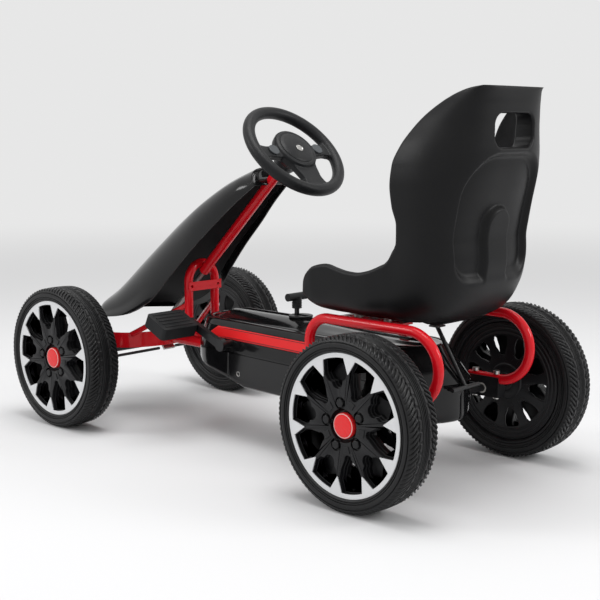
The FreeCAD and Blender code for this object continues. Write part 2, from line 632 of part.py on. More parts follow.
def fairing_half_left(openings):
    """Left half of the hollow fairing, cut for everything that passes through it."""
    shell = fairing_body(0.0).cut(fairing_body(FAIRING_WALL)).cut(openings)
    return shell.common(block(0, 300, -400, 700, 0, 400))


def dome_outline(inset, z):
    """Plan outline of the top cover."""
    y0 = FAIRING_FRONT_Y - FAIRING_FRONT_HALF + 30.0 + inset
    y1 = FAIRING_END_Y - 66.0 - inset
    half_front, half_rear = 48.0 - inset, 62.0 - inset
    points = [V(half_front, y0 + 40, z), V(half_rear, y1 - 30, z), V(0, y1, z), V(-half_rear, y1 - 30, z),
              V(-half_front, y0 + 40, z), V(0, y0, z)]
    edges = [Part.LineSegment(points[0], points[1]).toShape(),
             Part.Arc(points[1], points[2], points[3]).toShape(),
             Part.LineSegment(points[3], points[4]).toShape(),
             Part.Arc(points[4], points[5], points[0]).toShape()]
    return Part.Wire(edges)


def dome_body(shrink):
    """Crowned top cover as a solid, or its inside when shrunk by the wall."""
    levels = [(0.0, FAIRING_TOP_Z), (8.0, FAIRING_TOP_Z + 8.0), (26.0, FAIRING_TOP_Z + DOME_HEIGHT - shrink)]
    return Part.makeLoft([dome_outline(inset + shrink, z) for inset, z in levels], True, True)


LEVER_SLOT = (LEVER_Y - 8.0, LEVER_Y + 30.0)


def fairing_top():
    """Removable crowned cover with the slot for the lever."""
    slot = block(-7.0, 7.0, LEVER_SLOT[0], LEVER_SLOT[1], FAIRING_TOP_Z - 20, FAIRING_TOP_Z + 40)
    return dome_body(0.0).cut(dome_body(FAIRING_WALL)).cut(slot)


def lever_base():
    """Oval plate round the lever's slot on top of the cover."""
    z0 = FAIRING_TOP_Z + DOME_HEIGHT
    middle = (LEVER_SLOT[0] + LEVER_SLOT[1]) / 2
    plate = Part.makeCylinder(25.0, 4.0, V(0, middle, z0))
    slot = block(-7.0, 7.0, LEVER_SLOT[0], LEVER_SLOT[1], z0 - 1, z0 + 6)
    return plate.cut(slot)


def stripe_left():
    """Thin coloured strip on the fairing's shoulder."""
    y0, y1 = FAIRING_FRONT_Y - 30.0, 205.0
    low, high = FAIRING_SEAM_Z + 26.0, FAIRING_TOP_Z - 11.0
    zone = block(40.0, 130.0, y0, y1, low, high)
    return fairing_body(-0.8).common(zone).cut(fairing_body(0.0))


def nose_sections(shrink):
    """Closed sections of the nose shell; each is an arch from edge over crown to edge."""
    stations = [(V(0, -20, 531), V(0, -48, 566), 50.0), (V(0, -124, 444), V(0, -185, 503), 72.0),
                (V(0, -243, 336), V(0, -322, 408), 89.0), (V(0, -305, 285), V(0, -400, 350), 105.0),
                (V(0, -380, 250), V(0, -470, 288), 112.0), (V(0, -462, 235), V(0, -524, 250), 101.0),
                (V(0, -510, 225), V(0, -546, 229), 66.0)]
    wires = []
    for edge, crown, half in stations:
        up = (crown - edge).normalize()
        top = crown - up * shrink
        side = V(half - shrink, 0, 0)
        wires.append([edge + side, top, edge - side])
    return wires


def nose_shell():
    """Thin channel shaped cowl in front of the column, closed round the column at its top."""
    wires = []
    for outer, inner in zip(nose_sections(0.0), nose_sections(3.0)):
        edges = [Part.Arc(*outer).toShape(), Part.LineSegment(outer[2], inner[2]).toShape(),
                 Part.Arc(inner[2], inner[1], inner[0]).toShape(), Part.LineSegment(inner[0], outer[0]).toShape()]
        wires.append(Part.Wire(edges))
    shell = Part.makeLoft(wires, True, False)
    left, top, right = nose_sections(0.0)[0]
    face = Part.Face(Part.Wire([Part.Arc(left, top, right).toShape(), Part.LineSegment(right, left).toShape()]))
    normal = face.normalAt(0, 0)
    inward = normal if normal.z < 0 else normal * -1
    lid = face.extrude(inward * 3.0)
    collar = bar(COLUMN_RADIUS + 5.0, column_point(100.0), column_point(86.0))
    whole = fused([shell, lid, collar])
    return whole.cut(bar(COLUMN_RADIUS, column_point(140.0), column_point(COLUMN_TOP)))


# ---------------------------------------------------------------- drive and brake
def bearings():
    """Plain bushes: two on the rear axle, two in the crank hanger, two in the column, one at its foot."""
    solids = []
    for sign in (1, -1):
        solids.append(pipe(BEARING_RADIUS, REAR_AXLE_RADIUS + RUN_FIT, V(sign * BRACKET_X0, REAR_Y, AXLE_Z),
                           V(sign * BRACKET_X1, REAR_Y, AXLE_Z)))
        solids.append(pipe(11.0, CRANK_AXLE_RADIUS + RUN_FIT, V(sign * 24.0, CRANK_Y, CRANK_Z),
                           V(sign * 8.0, CRANK_Y, CRANK_Z)))
    for down in (COLUMN_TOP, COLUMN_END - 40.0):
        solids.append(pipe(COLUMN_RADIUS - 2.5, SHAFT_RADIUS + RUN_FIT, column_point(down + 20.0), column_point(down)))
    solids.append(pipe(8.0, SHAFT_RADIUS + RUN_FIT, column_point(FOOT_DOWN), column_point(FOOT_DOWN - 6.0)))
    return group(solids)


def rear_axle():
    """Solid axle with a spacer sleeve beside each wheel."""
    tip = REAR_FACE_X - 10.0
    rod = bar(REAR_AXLE_RADIUS, V(-tip, REAR_Y, AXLE_Z), V(tip, REAR_Y, AXLE_Z))
    start = V(BRACKET_X1 + FACE_GAP, REAR_Y, AXLE_Z)
    sleeve = bar(10.0, start, V(REAR_FACE_X - HUB_INNER - FACE_GAP, REAR_Y, AXLE_Z))
    return fused([rod, sleeve, mirrored(sleeve)])


def rear_axle_nuts():
    """Nut on each end of the rear axle."""
    nut = axle_nut(REAR_FACE_X - NUT_FLOOR + FACE_GAP, 9.5)
    nut.translate(V(0, REAR_Y, AXLE_Z))
    nut = nut.cut(bar(REAR_AXLE_RADIUS, V(0, REAR_Y, AXLE_Z), V(REAR_FACE_X, REAR_Y, AXLE_Z)))
    return group([nut, mirrored(nut)])


DRUM_RADIUS = 16.0


def driven_sprocket():
    """Sprocket with a wide hub that the brake shoe presses on."""
    disc = bar(SPROCKET_RADIUS - CHAIN_HEIGHT / 2 - 0.4, V(CHAIN_X - 1.5, REAR_Y, AXLE_Z), V(CHAIN_X + 1.5, REAR_Y, AXLE_Z))
    drum = bar(DRUM_RADIUS, V(-10.0, REAR_Y, AXLE_Z), V(CHAIN_X + 6.0, REAR_Y, AXLE_Z))
    axle = bar(REAR_AXLE_RADIUS, V(-20.0, REAR_Y, AXLE_Z), V(60.0, REAR_Y, AXLE_Z))
    return fused([disc, drum]).cut(axle)


def crank_direction():
    """Unit vector from the crank axle along the left arm."""
    angle = math.radians(CRANK_ANGLE)
    return V(0, -math.cos(angle), math.sin(angle))


def crank():
    """Axle, two arms and two pedal pins as one forging."""
    axle = bar(CRANK_AXLE_RADIUS, V(-CRANK_ARM_X, CRANK_Y, CRANK_Z), V(CRANK_ARM_X, CRANK_Y, CRANK_Z))
    parts = [axle]
    for sign in (1, -1):
        root = V(sign * CRANK_ARM_X, CRANK_Y, CRANK_Z)
        tip = root + crank_direction() * (sign * CRANK_LENGTH)
        thick = V(sign * CRANK_ARM_THICK, 0, 0)
        across = V(0, crank_direction().z, -crank_direction().y) * 9.0
        parts.append(prism([root - across, root + across, tip + across * 0.8, tip - across * 0.8], thick))
        parts.append(bar(13.0, root, root + thick))
        parts.append(bar(9.0, tip, tip + thick))
        parts.append(bar(5.0, tip, tip + V(sign * (CRANK_ARM_THICK + PEDAL_WIDTH - 4.0), 0, 0)))
    return fused(parts)


def chainring():
    """Front sprocket beside the crank hanger."""
    disc = bar(CHAINRING_RADIUS - CHAIN_HEIGHT / 2 - 0.4, V(CHAIN_X - 1.5, CRANK_Y, CRANK_Z), V(CHAIN_X + 1.5, CRANK_Y, CRANK_Z))
    hub = bar(14.0, V(CHAIN_X - 6.0, CRANK_Y, CRANK_Z), V(CHAIN_X + 6.0, CRANK_Y, CRANK_Z))
    axle = bar(CRANK_AXLE_RADIUS, V(0, CRANK_Y, CRANK_Z), V(80.0, CRANK_Y, CRANK_Z))
    holes = []
    for index in range(5):
        angle = 2 * math.pi * index / 5
        at = V(CHAIN_X - 8.0, CRANK_Y + 27.0 * math.cos(angle), CRANK_Z + 27.0 * math.sin(angle))
        holes.append(bar(7.0, at, at + V(16.0, 0, 0)))
    return fused([disc, hub]).cut(axle).cut(Part.makeCompound(holes))


def pedal(sign):
    """Hollow block pedal on its pin, tilted towards the driver."""
    root = V(sign * CRANK_ARM_X, CRANK_Y, CRANK_Z) + crank_direction() * (sign * CRANK_LENGTH)
    x0 = CRANK_ARM_X + CRANK_ARM_THICK + 2.0
    half, thick = PEDAL_DEPTH / 2, PEDAL_THICK / 2
    body = block(x0, x0 + PEDAL_WIDTH, -half, half, -thick, thick)
    body = body.makeFillet(8.0, [e for e in body.Edges if abs(e.BoundBox.ZLength - PEDAL_THICK) < 0.1])
    for y0 in (-half + 6.0, 9.5):
        depth = half - 15.5
        body = body.cut(block(x0 + 8.0, x0 + PEDAL_WIDTH - 8.0, y0, y0 + depth, -thick - 1, thick - 5.0))
    body = body.cut(bar(5.0 + RUN_FIT, V(x0 - 5, 0, 0), V(x0 + PEDAL_WIDTH - 3.7, 0, 0)))
    body.rotate(V(0, 0, 0), X_AXIS, -PEDAL_TILT)
    if sign < 0:
        body = mirrored(body)
    body.translate(V(0, root.y, root.z))
    return body


def chain_band(offset):
    """Belt shape round both sprockets, outside the pitch line by the offset."""
    big, small = CHAINRING_RADIUS + offset, SPROCKET_RADIUS + offset
    front, rear = V(0, CRANK_Y, CRANK_Z), V(0, REAR_Y, AXLE_Z)
    along = (rear - front).normalize()
    up = V(0, -along.z, along.y)
    lean = math.asin((big - small) / (rear - front).Length)
    parts = []
    for centre, radius in ((front, big), (rear, small)):
        parts.append(bar(radius, centre - V(CHAIN_WIDTH / 2, 0, 0), centre + V(CHAIN_WIDTH / 2, 0, 0)))
    corners = []
    for centre, radius, sign in ((front, big, 1), (rear, small, 1), (rear, small, -1), (front, big, -1)):
        direction = up * (sign * math.cos(lean)) + along * math.sin(lean)
        corners.append(centre + direction * radius - V(CHAIN_WIDTH / 2, 0, 0))
    parts.append(prism(corners, V(CHAIN_WIDTH, 0, 0)))
    band = fused(parts)
    band.translate(V(CHAIN_X, 0, 0))
    return band


def chain():
    """Roller chain as a plain belt of its outer size."""
    return chain_band(CHAIN_HEIGHT / 2).cut(chain_band(-CHAIN_HEIGHT / 2))


def brake_lever():
    """Upright hand lever with its pivot bar and lower arm."""
    pivot = V(0, LEVER_Y, LEVER_PIVOT_Z)
    stem = bar(5.0, pivot - V(0, 0, LEVER_ARM), V(0, LEVER_Y, LEVER_TOP_Z - 4.0))
    return fused([stem, bar(5.0, pivot - V(22.0, 0, 0), pivot + V(22.0, 0, 0))])


def lever_grip():
    """Cross shaped moulded grip on top of the lever."""
    cross = bar(8.0, V(-27.0, LEVER_Y, LEVER_TOP_Z), V(27.0, LEVER_Y, LEVER_TOP_Z))
    socket = bar(9.5, V(0, LEVER_Y, LEVER_TOP_Z - 24.0), V(0, LEVER_Y, LEVER_TOP_Z))
    stem = bar(5.0, V(0, LEVER_Y, 0), V(0, LEVER_Y, LEVER_TOP_Z - 4.0))
    return fused([cross, socket]).cut(stem)


def lever_bracket():
    """Two cheeks on the main tube that carry the lever's pivot."""
    parts = []
    for sign in (1, -1):
        x0, x1 = sorted((sign * 11.0, sign * 15.0))
        cheek = block(x0, x1, LEVER_Y - 12.0, LEVER_Y + 12.0, SPINE_Z, LEVER_PIVOT_Z + 10.0)
        parts.append(cheek.cut(bar(5.0 + RUN_FIT, V(-30, LEVER_Y, LEVER_PIVOT_Z), V(30, LEVER_Y, LEVER_PIVOT_Z))))
    return parts


def brake_rod():
    """Pull rod over the main tube with the brake shoe behind the axle drum."""
    z = LEVER_PIVOT_Z - LEVER_ARM - 8.0
    shoe_y = REAR_Y + DRUM_RADIUS + BRAKE_TRAVEL + 0.8
    rod = bar(3.0, V(0, LEVER_Y + 12.0, z), V(0, shoe_y + 2.5, z))
    drop = bar(3.0, V(0, shoe_y + 2.5, z), V(0, shoe_y + 2.5, AXLE_Z))
    shoe = block(-9.0, 9.0, shoe_y, shoe_y + 6.0, AXLE_Z - 10.0, AXLE_Z + 10.0)
    return fused([rod, drop, shoe])


# ---------------------------------------------------------------- seat
SEAT_BELLY_Z = 290.0
BELLY_HALF = 60.0
SEAT_HALF_WIDTHS = [(300.0, 138.0), (330.0, 157.0), (360.0, 160.0), (400.0, 160.0), (450.0, 152.0),
                    (560.0, 154.0), (616.0, 145.0), (648.0, 130.0), (681.0, 115.0), (700.0, 105.0), (716.0, 90.0)]


def seat_front_view(inset, y0, y1):
    """Solid bounded by the seat's outline as seen from the front."""
    right = [V(w - inset, y0, z) for z, w in SEAT_HALF_WIDTHS]
    left = [V(-p.x, y0, p.z) for p in reversed(right)]
    bottom = right[0].z - 60.0
    return prism([V(right[0].x, y0, bottom)] + right + left + [V(left[-1].x, y0, bottom)], V(0, y1 - y0, 0))


def seat_shell():
    """Bucket seat: pan, back and side wings in one moulding, with a hand hole in the back."""
    rim = [V(0, y, z) for y, z in ((570, 715), (552, 716), (525, 700), (493, 681), (454, 648), (433, 616), (421, 584),
                                   (420, 550), (425, 514), (435, 482), (433, 450), (421, 425), (400, 405), (368, 395),
                                   (323, 397), (275, 400), (243, 393), (217, 369), (212, 347), (221, 322),
                                   (245, SEAT_BOTTOM_Z))]
    back = [V(0, y, z) for y, z in ((478, SEAT_BOTTOM_Z), (504, 333), (524, 375), (532, 409), (536, 470), (541, 520),
                                    (561, 590), (568, 649))]
    side = prism([p - V(200, 0, 0) for p in rim + back], V(400, 0, 0))
    outer = side.common(seat_front_view(0.0, 150.0, 650.0))
    room = [V(-200, y, z) for y, z in ((180, 352), (240, 342), (380, 336), (440, 340), (478, 362), (498, 400),
                                       (508, 470), (513, 520), (533, 590), (540, 649), (544, 760), (180, 760))]
    cavity = prism(room, V(400, 0, 0)).common(seat_front_view(SEAT_WALL, 150.0, 650.0))
    belly = [V(-BELLY_HALF, y, z) for y, z in ((372, SEAT_BOTTOM_Z + 5), (396, SEAT_BELLY_Z), (440, SEAT_BELLY_Z),
                                        (474, SEAT_BOTTOM_Z + 5))]
    hole = block(-HANDLE_HALF, HANDLE_HALF, 500.0, 620.0, HANDLE_LOW_Z, HANDLE_HIGH_Z)
    hole = hole.makeFillet(18.0, [e for e in hole.Edges if abs(e.BoundBox.YLength - 120.0) < 0.1])
    seat = fused([outer.cut(cavity), prism(belly, V(2 * BELLY_HALF, 0, 0))]).cut(hole)
    for x in (-SEAT_BOLT_X, SEAT_BOLT_X):
        for y in SEAT_BOLT_YS:
            seat = seat.cut(bar(SEAT_BOLT_RADIUS, V(x, y, 250.0), V(x, y, 345.0)))
    return seat


def seat_bolts():
    """Four bolts through the pan, spacer and seat plate."""
    solids = []
    for x in (-SEAT_BOLT_X, SEAT_BOLT_X):
        for y in SEAT_BOLT_YS:
            low = SIDE_BAR_TOP_Z - 12.0
            shank = bar(SEAT_BOLT_RADIUS, V(x, y, low), V(x, y, 345.0))
            spacer = bar(8.5, V(x, y, SIDE_BAR_TOP_Z + 2.0 + FACE_GAP), V(x, y, SEAT_BOTTOM_Z))
            nut = bar(7.5, V(x, y, SIDE_BAR_TOP_Z - 8.5), V(x, y, SIDE_BAR_TOP_Z - 2.0 - FACE_GAP))
            head = bar(8.0, V(x, y, 345.0), V(x, y, 349.0))
            solids.append(fused([shank, spacer, nut, head]))
    return group(solids)


# ---------------------------------------------------------------- assembly
def passage(radius, start, end):
    """Clearance hole through the fairing."""
    return bar(radius, start, end)


def fairing_openings():
    """Everything that passes through the fairing, with room round it."""
    far = 200.0
    return Part.makeCompound([
        passage(TUBE_RADIUS + 1.5, V(-far, FRONT_LEG_Y, SIDE_BAR_LOW_Z), V(far, FRONT_LEG_Y, SIDE_BAR_LOW_Z)),
        passage(TUBE_RADIUS + 1.5, V(-far, REAR_TUBE_Y, REAR_TUBE_Z), V(far, REAR_TUBE_Y, REAR_TUBE_Z)),
        passage(REAR_AXLE_RADIUS + 4.0, V(-far, REAR_Y, AXLE_Z), V(far, REAR_Y, AXLE_Z)),
        passage(CRANK_AXLE_RADIUS + 4.0, V(-far, CRANK_Y, CRANK_Z), V(far, CRANK_Y, CRANK_Z)),
        passage(SPINE_RADIUS + 1.0, V(0, FAIRING_FRONT_Y - 150.0, SPINE_Z), V(0, FAIRING_FRONT_Y, SPINE_Z)),
        dome_body(-0.5).common(block(-200, 200, -400, 700, 0, 400)).fuse(dome_hole())])


def dome_hole():
    """Opening in the fairing's flat top, under the removable cover."""
    face = Part.Face(dome_outline(12.0, FAIRING_TOP_Z - 12.0))
    return face.extrude(V(0, 0, 24.0))


def frame_nodes():
    """Everything that is fixed to the frame."""
    hoop = steering_hoop()
    core_left = side_bar_core_left()
    cross_front = cross_bar_solid(FRONT_LEG_Y, SIDE_BAR_LOW_Z, SIDE_BAR_X)
    cross_rear = cross_bar_solid(REAR_TUBE_Y, REAR_TUBE_Z, BRACKET_X0)
    yoke_y = FRONT_Y + BAND_REACH
    spine = main_spine(yoke_y - 1.0, cross_front, cross_rear)
    yoke = front_yoke().cut(bar(SPINE_RADIUS, V(0, yoke_y - 1.0, SPINE_Z), V(0, 0, SPINE_Z)))
    hoop = hoop.cut(yoke)
    cheeks = lever_bracket()
    spine = fused([spine] + cheeks).cut(bar(SPINE_RADIUS - TUBE_WALL, V(0, 0, SPINE_Z), V(0, 100.0, SPINE_Z)))
    shanks = Part.makeCompound([bracket_shank(y) for y in BRACKET_BOLT_YS])
    side_left = fused([side_bar_left(), seat_plate_left(core_left)]).cut(shanks)
    half_x = SIDE_BAR_X + TUBE_RADIUS
    openings = fairing_openings()
    shell_left = fairing_half_left(openings)
    bracket = axle_bracket_left(core_left)
    return {
        "main_spine": spine,
        "front_axle_beam": front_beam(),
        "front_yoke": yoke,
        "steering_hoop": hoop,
        "hoop_plate": hoop_plate(),
        "column_tube": column_tube(hoop),
        "side_bars": group([side_left, mirrored(side_left)]),
        "front_cross_tube": cross_tube(FRONT_LEG_Y, SIDE_BAR_LOW_Z, half_x),
        "rear_cross_tube": cross_tube(REAR_TUBE_Y, REAR_TUBE_Z, BRACKET_X0),
        "rear_axle_brackets": group([bracket, mirrored(bracket)]),
        "bearings": bearings(),
        "frame_bolts": frame_bolts(),
        "kingpin_bolts": kingpin_bolts(),
        "seat_shell": seat_shell(),
        "seat_bolts": seat_bolts(),
        "rear_stay": rear_stay(),
        "fairing_left": shell_left,
        "fairing_right": mirrored(shell_left),
        "fairing_top": fairing_top(),
        "fairing_stripes": group([stripe_left(), mirrored(stripe_left())]),
        "lever_base": lever_base(),
        "nose_shell": nose_shell(),
        "chain": chain(),
    }


def moving_nodes():
    """Everything that turns or slides on the frame."""
    knuckle = knuckle_left()
    rod = tie_rod_left()
    nut = front_stub_nut()
    return {
        "steering_shaft": steering_shaft(),
        "steering_wheel": steering_wheel(),
        "hub_cover": hub_cover(),
        "button_left": wheel_button(1),
        "button_right": wheel_button(-1),
        "knuckle_left": knuckle,
        "knuckle_right": mirrored(knuckle),
        "front_stub_nut_left": nut,
        "front_stub_nut_right": mirrored(nut),
        "tie_rod_left": rod,
        "tie_rod_right": mirrored(rod),
        "rear_axle": rear_axle(),
        "rear_axle_nuts": rear_axle_nuts(),
        "driven_sprocket": driven_sprocket(),
        "crank": crank(),
        "chainring": chainring(),
        "pedal_left": pedal(1),
        "pedal_right": pedal(-1),
        "brake_lever": brake_lever(),
        "lever_grip": lever_grip(),
        "brake_rod": brake_rod(),
    }


def main():
    """Build every node and write its STEP file."""
    os.makedirs("parts", exist_ok=True)
    nodes = {**frame_nodes(), **moving_nodes(), **wheels()}
    for name, shape in nodes.items():
        print(f"{name:26s} solids {len(shape.Solids)} valid {shape.isValid()} volume {shape.Volume / 1000:.1f} cm3")
        shape.exportStep(f"parts/{name}.step")
    print(len(nodes), "nodes")


main()
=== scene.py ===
"""Pedal go kart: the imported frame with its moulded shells, tyres, rims, seat and steering wheel dressed."""
from __future__ import annotations

import json
import logging
import math
from dataclasses import dataclass, field
from enum import Enum

import bmesh
import bpy
import numpy as np
from mathutils import Matrix, Vector

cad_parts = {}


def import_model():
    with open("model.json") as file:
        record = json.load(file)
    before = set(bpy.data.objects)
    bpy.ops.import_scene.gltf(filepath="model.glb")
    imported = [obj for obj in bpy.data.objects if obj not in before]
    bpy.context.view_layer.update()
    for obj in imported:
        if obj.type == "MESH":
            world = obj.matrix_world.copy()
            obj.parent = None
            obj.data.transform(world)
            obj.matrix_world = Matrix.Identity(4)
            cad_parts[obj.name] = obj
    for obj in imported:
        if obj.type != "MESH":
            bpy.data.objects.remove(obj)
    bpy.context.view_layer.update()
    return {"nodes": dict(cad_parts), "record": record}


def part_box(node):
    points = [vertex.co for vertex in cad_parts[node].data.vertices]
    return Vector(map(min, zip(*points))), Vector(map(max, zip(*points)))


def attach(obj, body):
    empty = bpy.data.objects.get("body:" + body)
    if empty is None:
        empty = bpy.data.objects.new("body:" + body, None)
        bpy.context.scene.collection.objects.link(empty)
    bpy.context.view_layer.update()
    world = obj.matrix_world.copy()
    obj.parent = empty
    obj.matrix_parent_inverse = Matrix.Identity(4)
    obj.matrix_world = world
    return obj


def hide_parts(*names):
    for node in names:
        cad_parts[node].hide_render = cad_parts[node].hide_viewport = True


LOG = logging.getLogger("kart")
MM = 0.001
WHEEL_ENDS = ("front", "rear")
SIDES = ("left", "right")


# ------------------------------------------------------------------ numbers and meshes
def ease(value: np.ndarray | float, low: float, high: float) -> np.ndarray:
    """Smooth step from 0 below low to 1 above high.

    Args:
        value: The values to map.
        low: Where the step starts.
        high: Where the step ends; it may be below low, for a step down.

    Returns:
        The eased values, between 0 and 1.
    """
    part = np.clip((np.asarray(value, float) - low) / (high - low), 0.0, 1.0)
    return part * part * (3.0 - 2.0 * part)


def curve_through(keys: list[tuple[float, ...]], at: np.ndarray, column: int) -> np.ndarray:
    """Smooth values through key rows with no overshoot between them.

    Args:
        keys: Rows whose first number is the place and the rest are values.
        at: Places to read.
        column: Which value of each row to read.

    Returns:
        One value for each place.
    """
    xs = np.array([row[0] for row in keys], float)
    ys = np.array([row[column] for row in keys], float)
    step, slope = np.diff(xs), np.diff(ys) / np.diff(xs)
    tangent = np.zeros(len(xs))
    same = slope[:-1] * slope[1:] > 0
    w1, w2 = 2 * step[1:] + step[:-1], step[1:] + 2 * step[:-1]
    inner = np.zeros(len(slope) - 1)
    inner[same] = (w1 + w2)[same] / (w1[same] / slope[:-1][same] + w2[same] / slope[1:][same])
    tangent[1:-1] = inner
    tangent[0], tangent[-1] = slope[0], slope[-1]
    at = np.clip(at, xs[0], xs[-1])
    cell = np.clip(np.searchsorted(xs, at) - 1, 0, len(step) - 1)
    t = (at - xs[cell]) / step[cell]
    h00, h10 = (1 + 2 * t) * (1 - t) ** 2, t * (1 - t) ** 2
    h01, h11 = t * t * (3 - 2 * t), t * t * (t - 1)
    ends = h00 * ys[cell] + h10 * step[cell] * tangent[cell]
    return ends + h01 * ys[cell + 1] + h11 * step[cell] * tangent[cell + 1]


def evenly(points: np.ndarray, count: int) -> np.ndarray:
    """Spread points evenly along a polyline.

    Args:
        points: Polyline as rows of coordinates.
        count: How many points to return.

    Returns:
        The evenly spaced points.
    """
    run = np.concatenate([[0.0], np.cumsum(np.linalg.norm(np.diff(points, axis=0), axis=1))])
    place = np.linspace(0.0, run[-1], count)
    return np.stack([np.interp(place, run, points[:, i]) for i in range(points.shape[1])], axis=1)


def round_box(x: np.ndarray, z: np.ndarray, half_x: float, half_z: float, radius: float) -> np.ndarray:
    """Signed distance to a rounded rectangle about the origin, negative inside.

    Args:
        x: Places across.
        z: Places up.
        half_x: Half its width.
        half_z: Half its height.
        radius: Radius of its corners.

    Returns:
        The distances.
    """
    dx, dz = np.abs(x) - half_x + radius, np.abs(z) - half_z + radius
    outside = np.hypot(np.maximum(dx, 0.0), np.maximum(dz, 0.0))
    return outside + np.minimum(np.maximum(dx, dz), 0.0) - radius


def link(mesh: bpy.types.Mesh, name: str, smooth_angle: float = 40.0) -> bpy.types.Object:
    """Put a mesh in the scene, smooth except at edges sharper than the angle.

    Args:
        mesh: The mesh data.
        name: Name of the new piece.
        smooth_angle: Sharpest angle that is still smoothed, in degrees.

    Returns:
        The new object.
    """
    mesh.polygons.foreach_set("use_smooth", [True] * len(mesh.polygons))
    mesh.set_sharp_from_angle(angle=math.radians(smooth_angle))
    piece = bpy.data.objects.new(name, mesh)
    bpy.context.scene.collection.objects.link(piece)
    return piece


def faces_of_grid(rows: int, columns: int, closed: bool, first: int = 0) -> list[tuple[int, ...]]:
    """Quads between neighbouring rows of a grid whose rows may close on themselves.

    Args:
        rows: Number of rows.
        columns: Points in each row.
        closed: Whether each row closes on itself.
        first: Number of the first point.

    Returns:
        Four point numbers for each quad.
    """
    last = columns if closed else columns - 1
    quads = []
    for r in range(rows - 1):
        a, b = first + r * columns, first + (r + 1) * columns
        quads += [(a + c, a + (c + 1) % columns, b + (c + 1) % columns, b + c) for c in range(last)]
    return quads


def mesh_from(points: np.ndarray, faces: list[tuple[int, ...]], name: str) -> bpy.types.Mesh:
    """Mesh from points in millimetres.

    Args:
        points: Coordinates, in a table or a grid.
        faces: Point numbers of each face.
        name: Name of the mesh.

    Returns:
        The mesh, welded and with its faces turned outwards.
    """
    mesh = bpy.data.meshes.new(name)
    mesh.from_pydata((points.reshape(-1, 3) * MM).tolist(), [], faces)
    tidy = bmesh.new()
    tidy.from_mesh(mesh)
    bmesh.ops.remove_doubles(tidy, verts=tidy.verts, dist=1e-6)
    bmesh.ops.recalc_face_normals(tidy, faces=tidy.faces)
    tidy.to_mesh(mesh)
    tidy.free()
    return mesh


def lathe(profile: list[tuple[float, float]], name: str, steps: int = 160) -> bpy.types.Mesh:
    """Mesh of revolution about the X axis from a closed (x, radius) profile in millimetres.

    Args:
        profile: Closed outline as x and radius.
        name: Name of the mesh.
        steps: Number of places round the axis.

    Returns:
        The mesh.
    """
    angle = np.linspace(0, 2 * math.pi, steps, endpoint=False)
    outline = np.array(profile, float)
    ring = np.zeros((steps, len(outline), 3))
    ring[:, :, 0] = outline[None, :, 0]
    ring[:, :, 1] = outline[None, :, 1] * np.cos(angle)[:, None]
    ring[:, :, 2] = outline[None, :, 1] * np.sin(angle)[:, None]
    ring = np.concatenate([ring, ring[:1]])
    return mesh_from(ring, faces_of_grid(steps + 1, len(outline), True), name)


def plate(outlines: list[np.ndarray], thick: float, bevel: float, name: str) -> bpy.types.Mesh:
    """Flat plate with holes and rounded edges, its middle at x = 0 and its outlines in Y and Z.

    Args:
        outlines: Closed outlines in millimetres, the outer one first and then the holes.
        thick: Full thickness in millimetres.
        bevel: Radius of the rounded edges.
        name: Name of the mesh.

    Returns:
        The finished mesh, facing +X.
    """
    curve = bpy.data.curves.new(name, "CURVE")
    curve.dimensions = "2D"
    curve.fill_mode = "BOTH"
    curve.extrude = (thick / 2 - bevel) * MM
    curve.bevel_depth = bevel * MM
    curve.bevel_resolution = 2
    curve.offset = -bevel * MM
    for outline in outlines:
        spline = curve.splines.new("POLY")
        spline.points.add(len(outline) - 1)
        flat = np.zeros((len(outline), 4))
        flat[:, :2] = outline * MM
        spline.points.foreach_set("co", flat.ravel())
        spline.use_cyclic_u = True
    holder = bpy.data.objects.new(name, curve)
    bpy.context.scene.collection.objects.link(holder)
    graph = bpy.context.evaluated_depsgraph_get()
    mesh = bpy.data.meshes.new_from_object(holder.evaluated_get(graph))
    bpy.data.objects.remove(holder)
    turn = Matrix(((0, 0, 1, 0), (1, 0, 0, 0), (0, 1, 0, 0), (0, 0, 0, 1)))
    mesh.transform(turn)
    mesh.name = name
    return mesh


def prism(outline: np.ndarray, low: float, high: float, name: str) -> bpy.types.Mesh:
    """Straight block along X from a closed outline in Y and Z.

    Args:
        outline: Closed outline as y and z.
        low: X of one end.
        high: X of the other end.
        name: Name of the mesh.

    Returns:
        The closed mesh.
    """
    count = len(outline)
    rows = [np.column_stack([np.full(count, x), outline]) for x in (low, high)]
    faces = faces_of_grid(2, count, True) + [tuple(range(count)), tuple(range(count, 2 * count))]
    return mesh_from(np.array(rows), faces, name)


def carved(body: bpy.types.Mesh, cutters: list[bpy.types.Mesh], bevel: float, name: str) -> bpy.types.Mesh:
    """Take the cutters out of a body and round the edges that are left.

    Args:
        body: Closed mesh to cut.
        cutters: Closed meshes that don't touch one another.
        bevel: Radius of the rounded edges in millimetres.
        name: Name of the new mesh.

    Returns:
        The finished mesh.
    """
    piece, tool = link(body, name), link(joined(cutters, "cutters"), "cutters")
    cut = piece.modifiers.new("cut", "BOOLEAN")
    cut.operation = "DIFFERENCE"
    cut.solver = "EXACT"
    cut.object = tool
    if bevel > 0.0:
        edge = piece.modifiers.new("edge", "BEVEL")
        edge.width = bevel * MM
        edge.segments = 2
        edge.limit_method = "ANGLE"
        edge.angle_limit = math.radians(38.0)
        edge.use_clamp_overlap = False
    bake(piece)
    mesh = piece.data
    bpy.data.objects.remove(piece)
    bpy.data.objects.remove(tool)
    return mesh


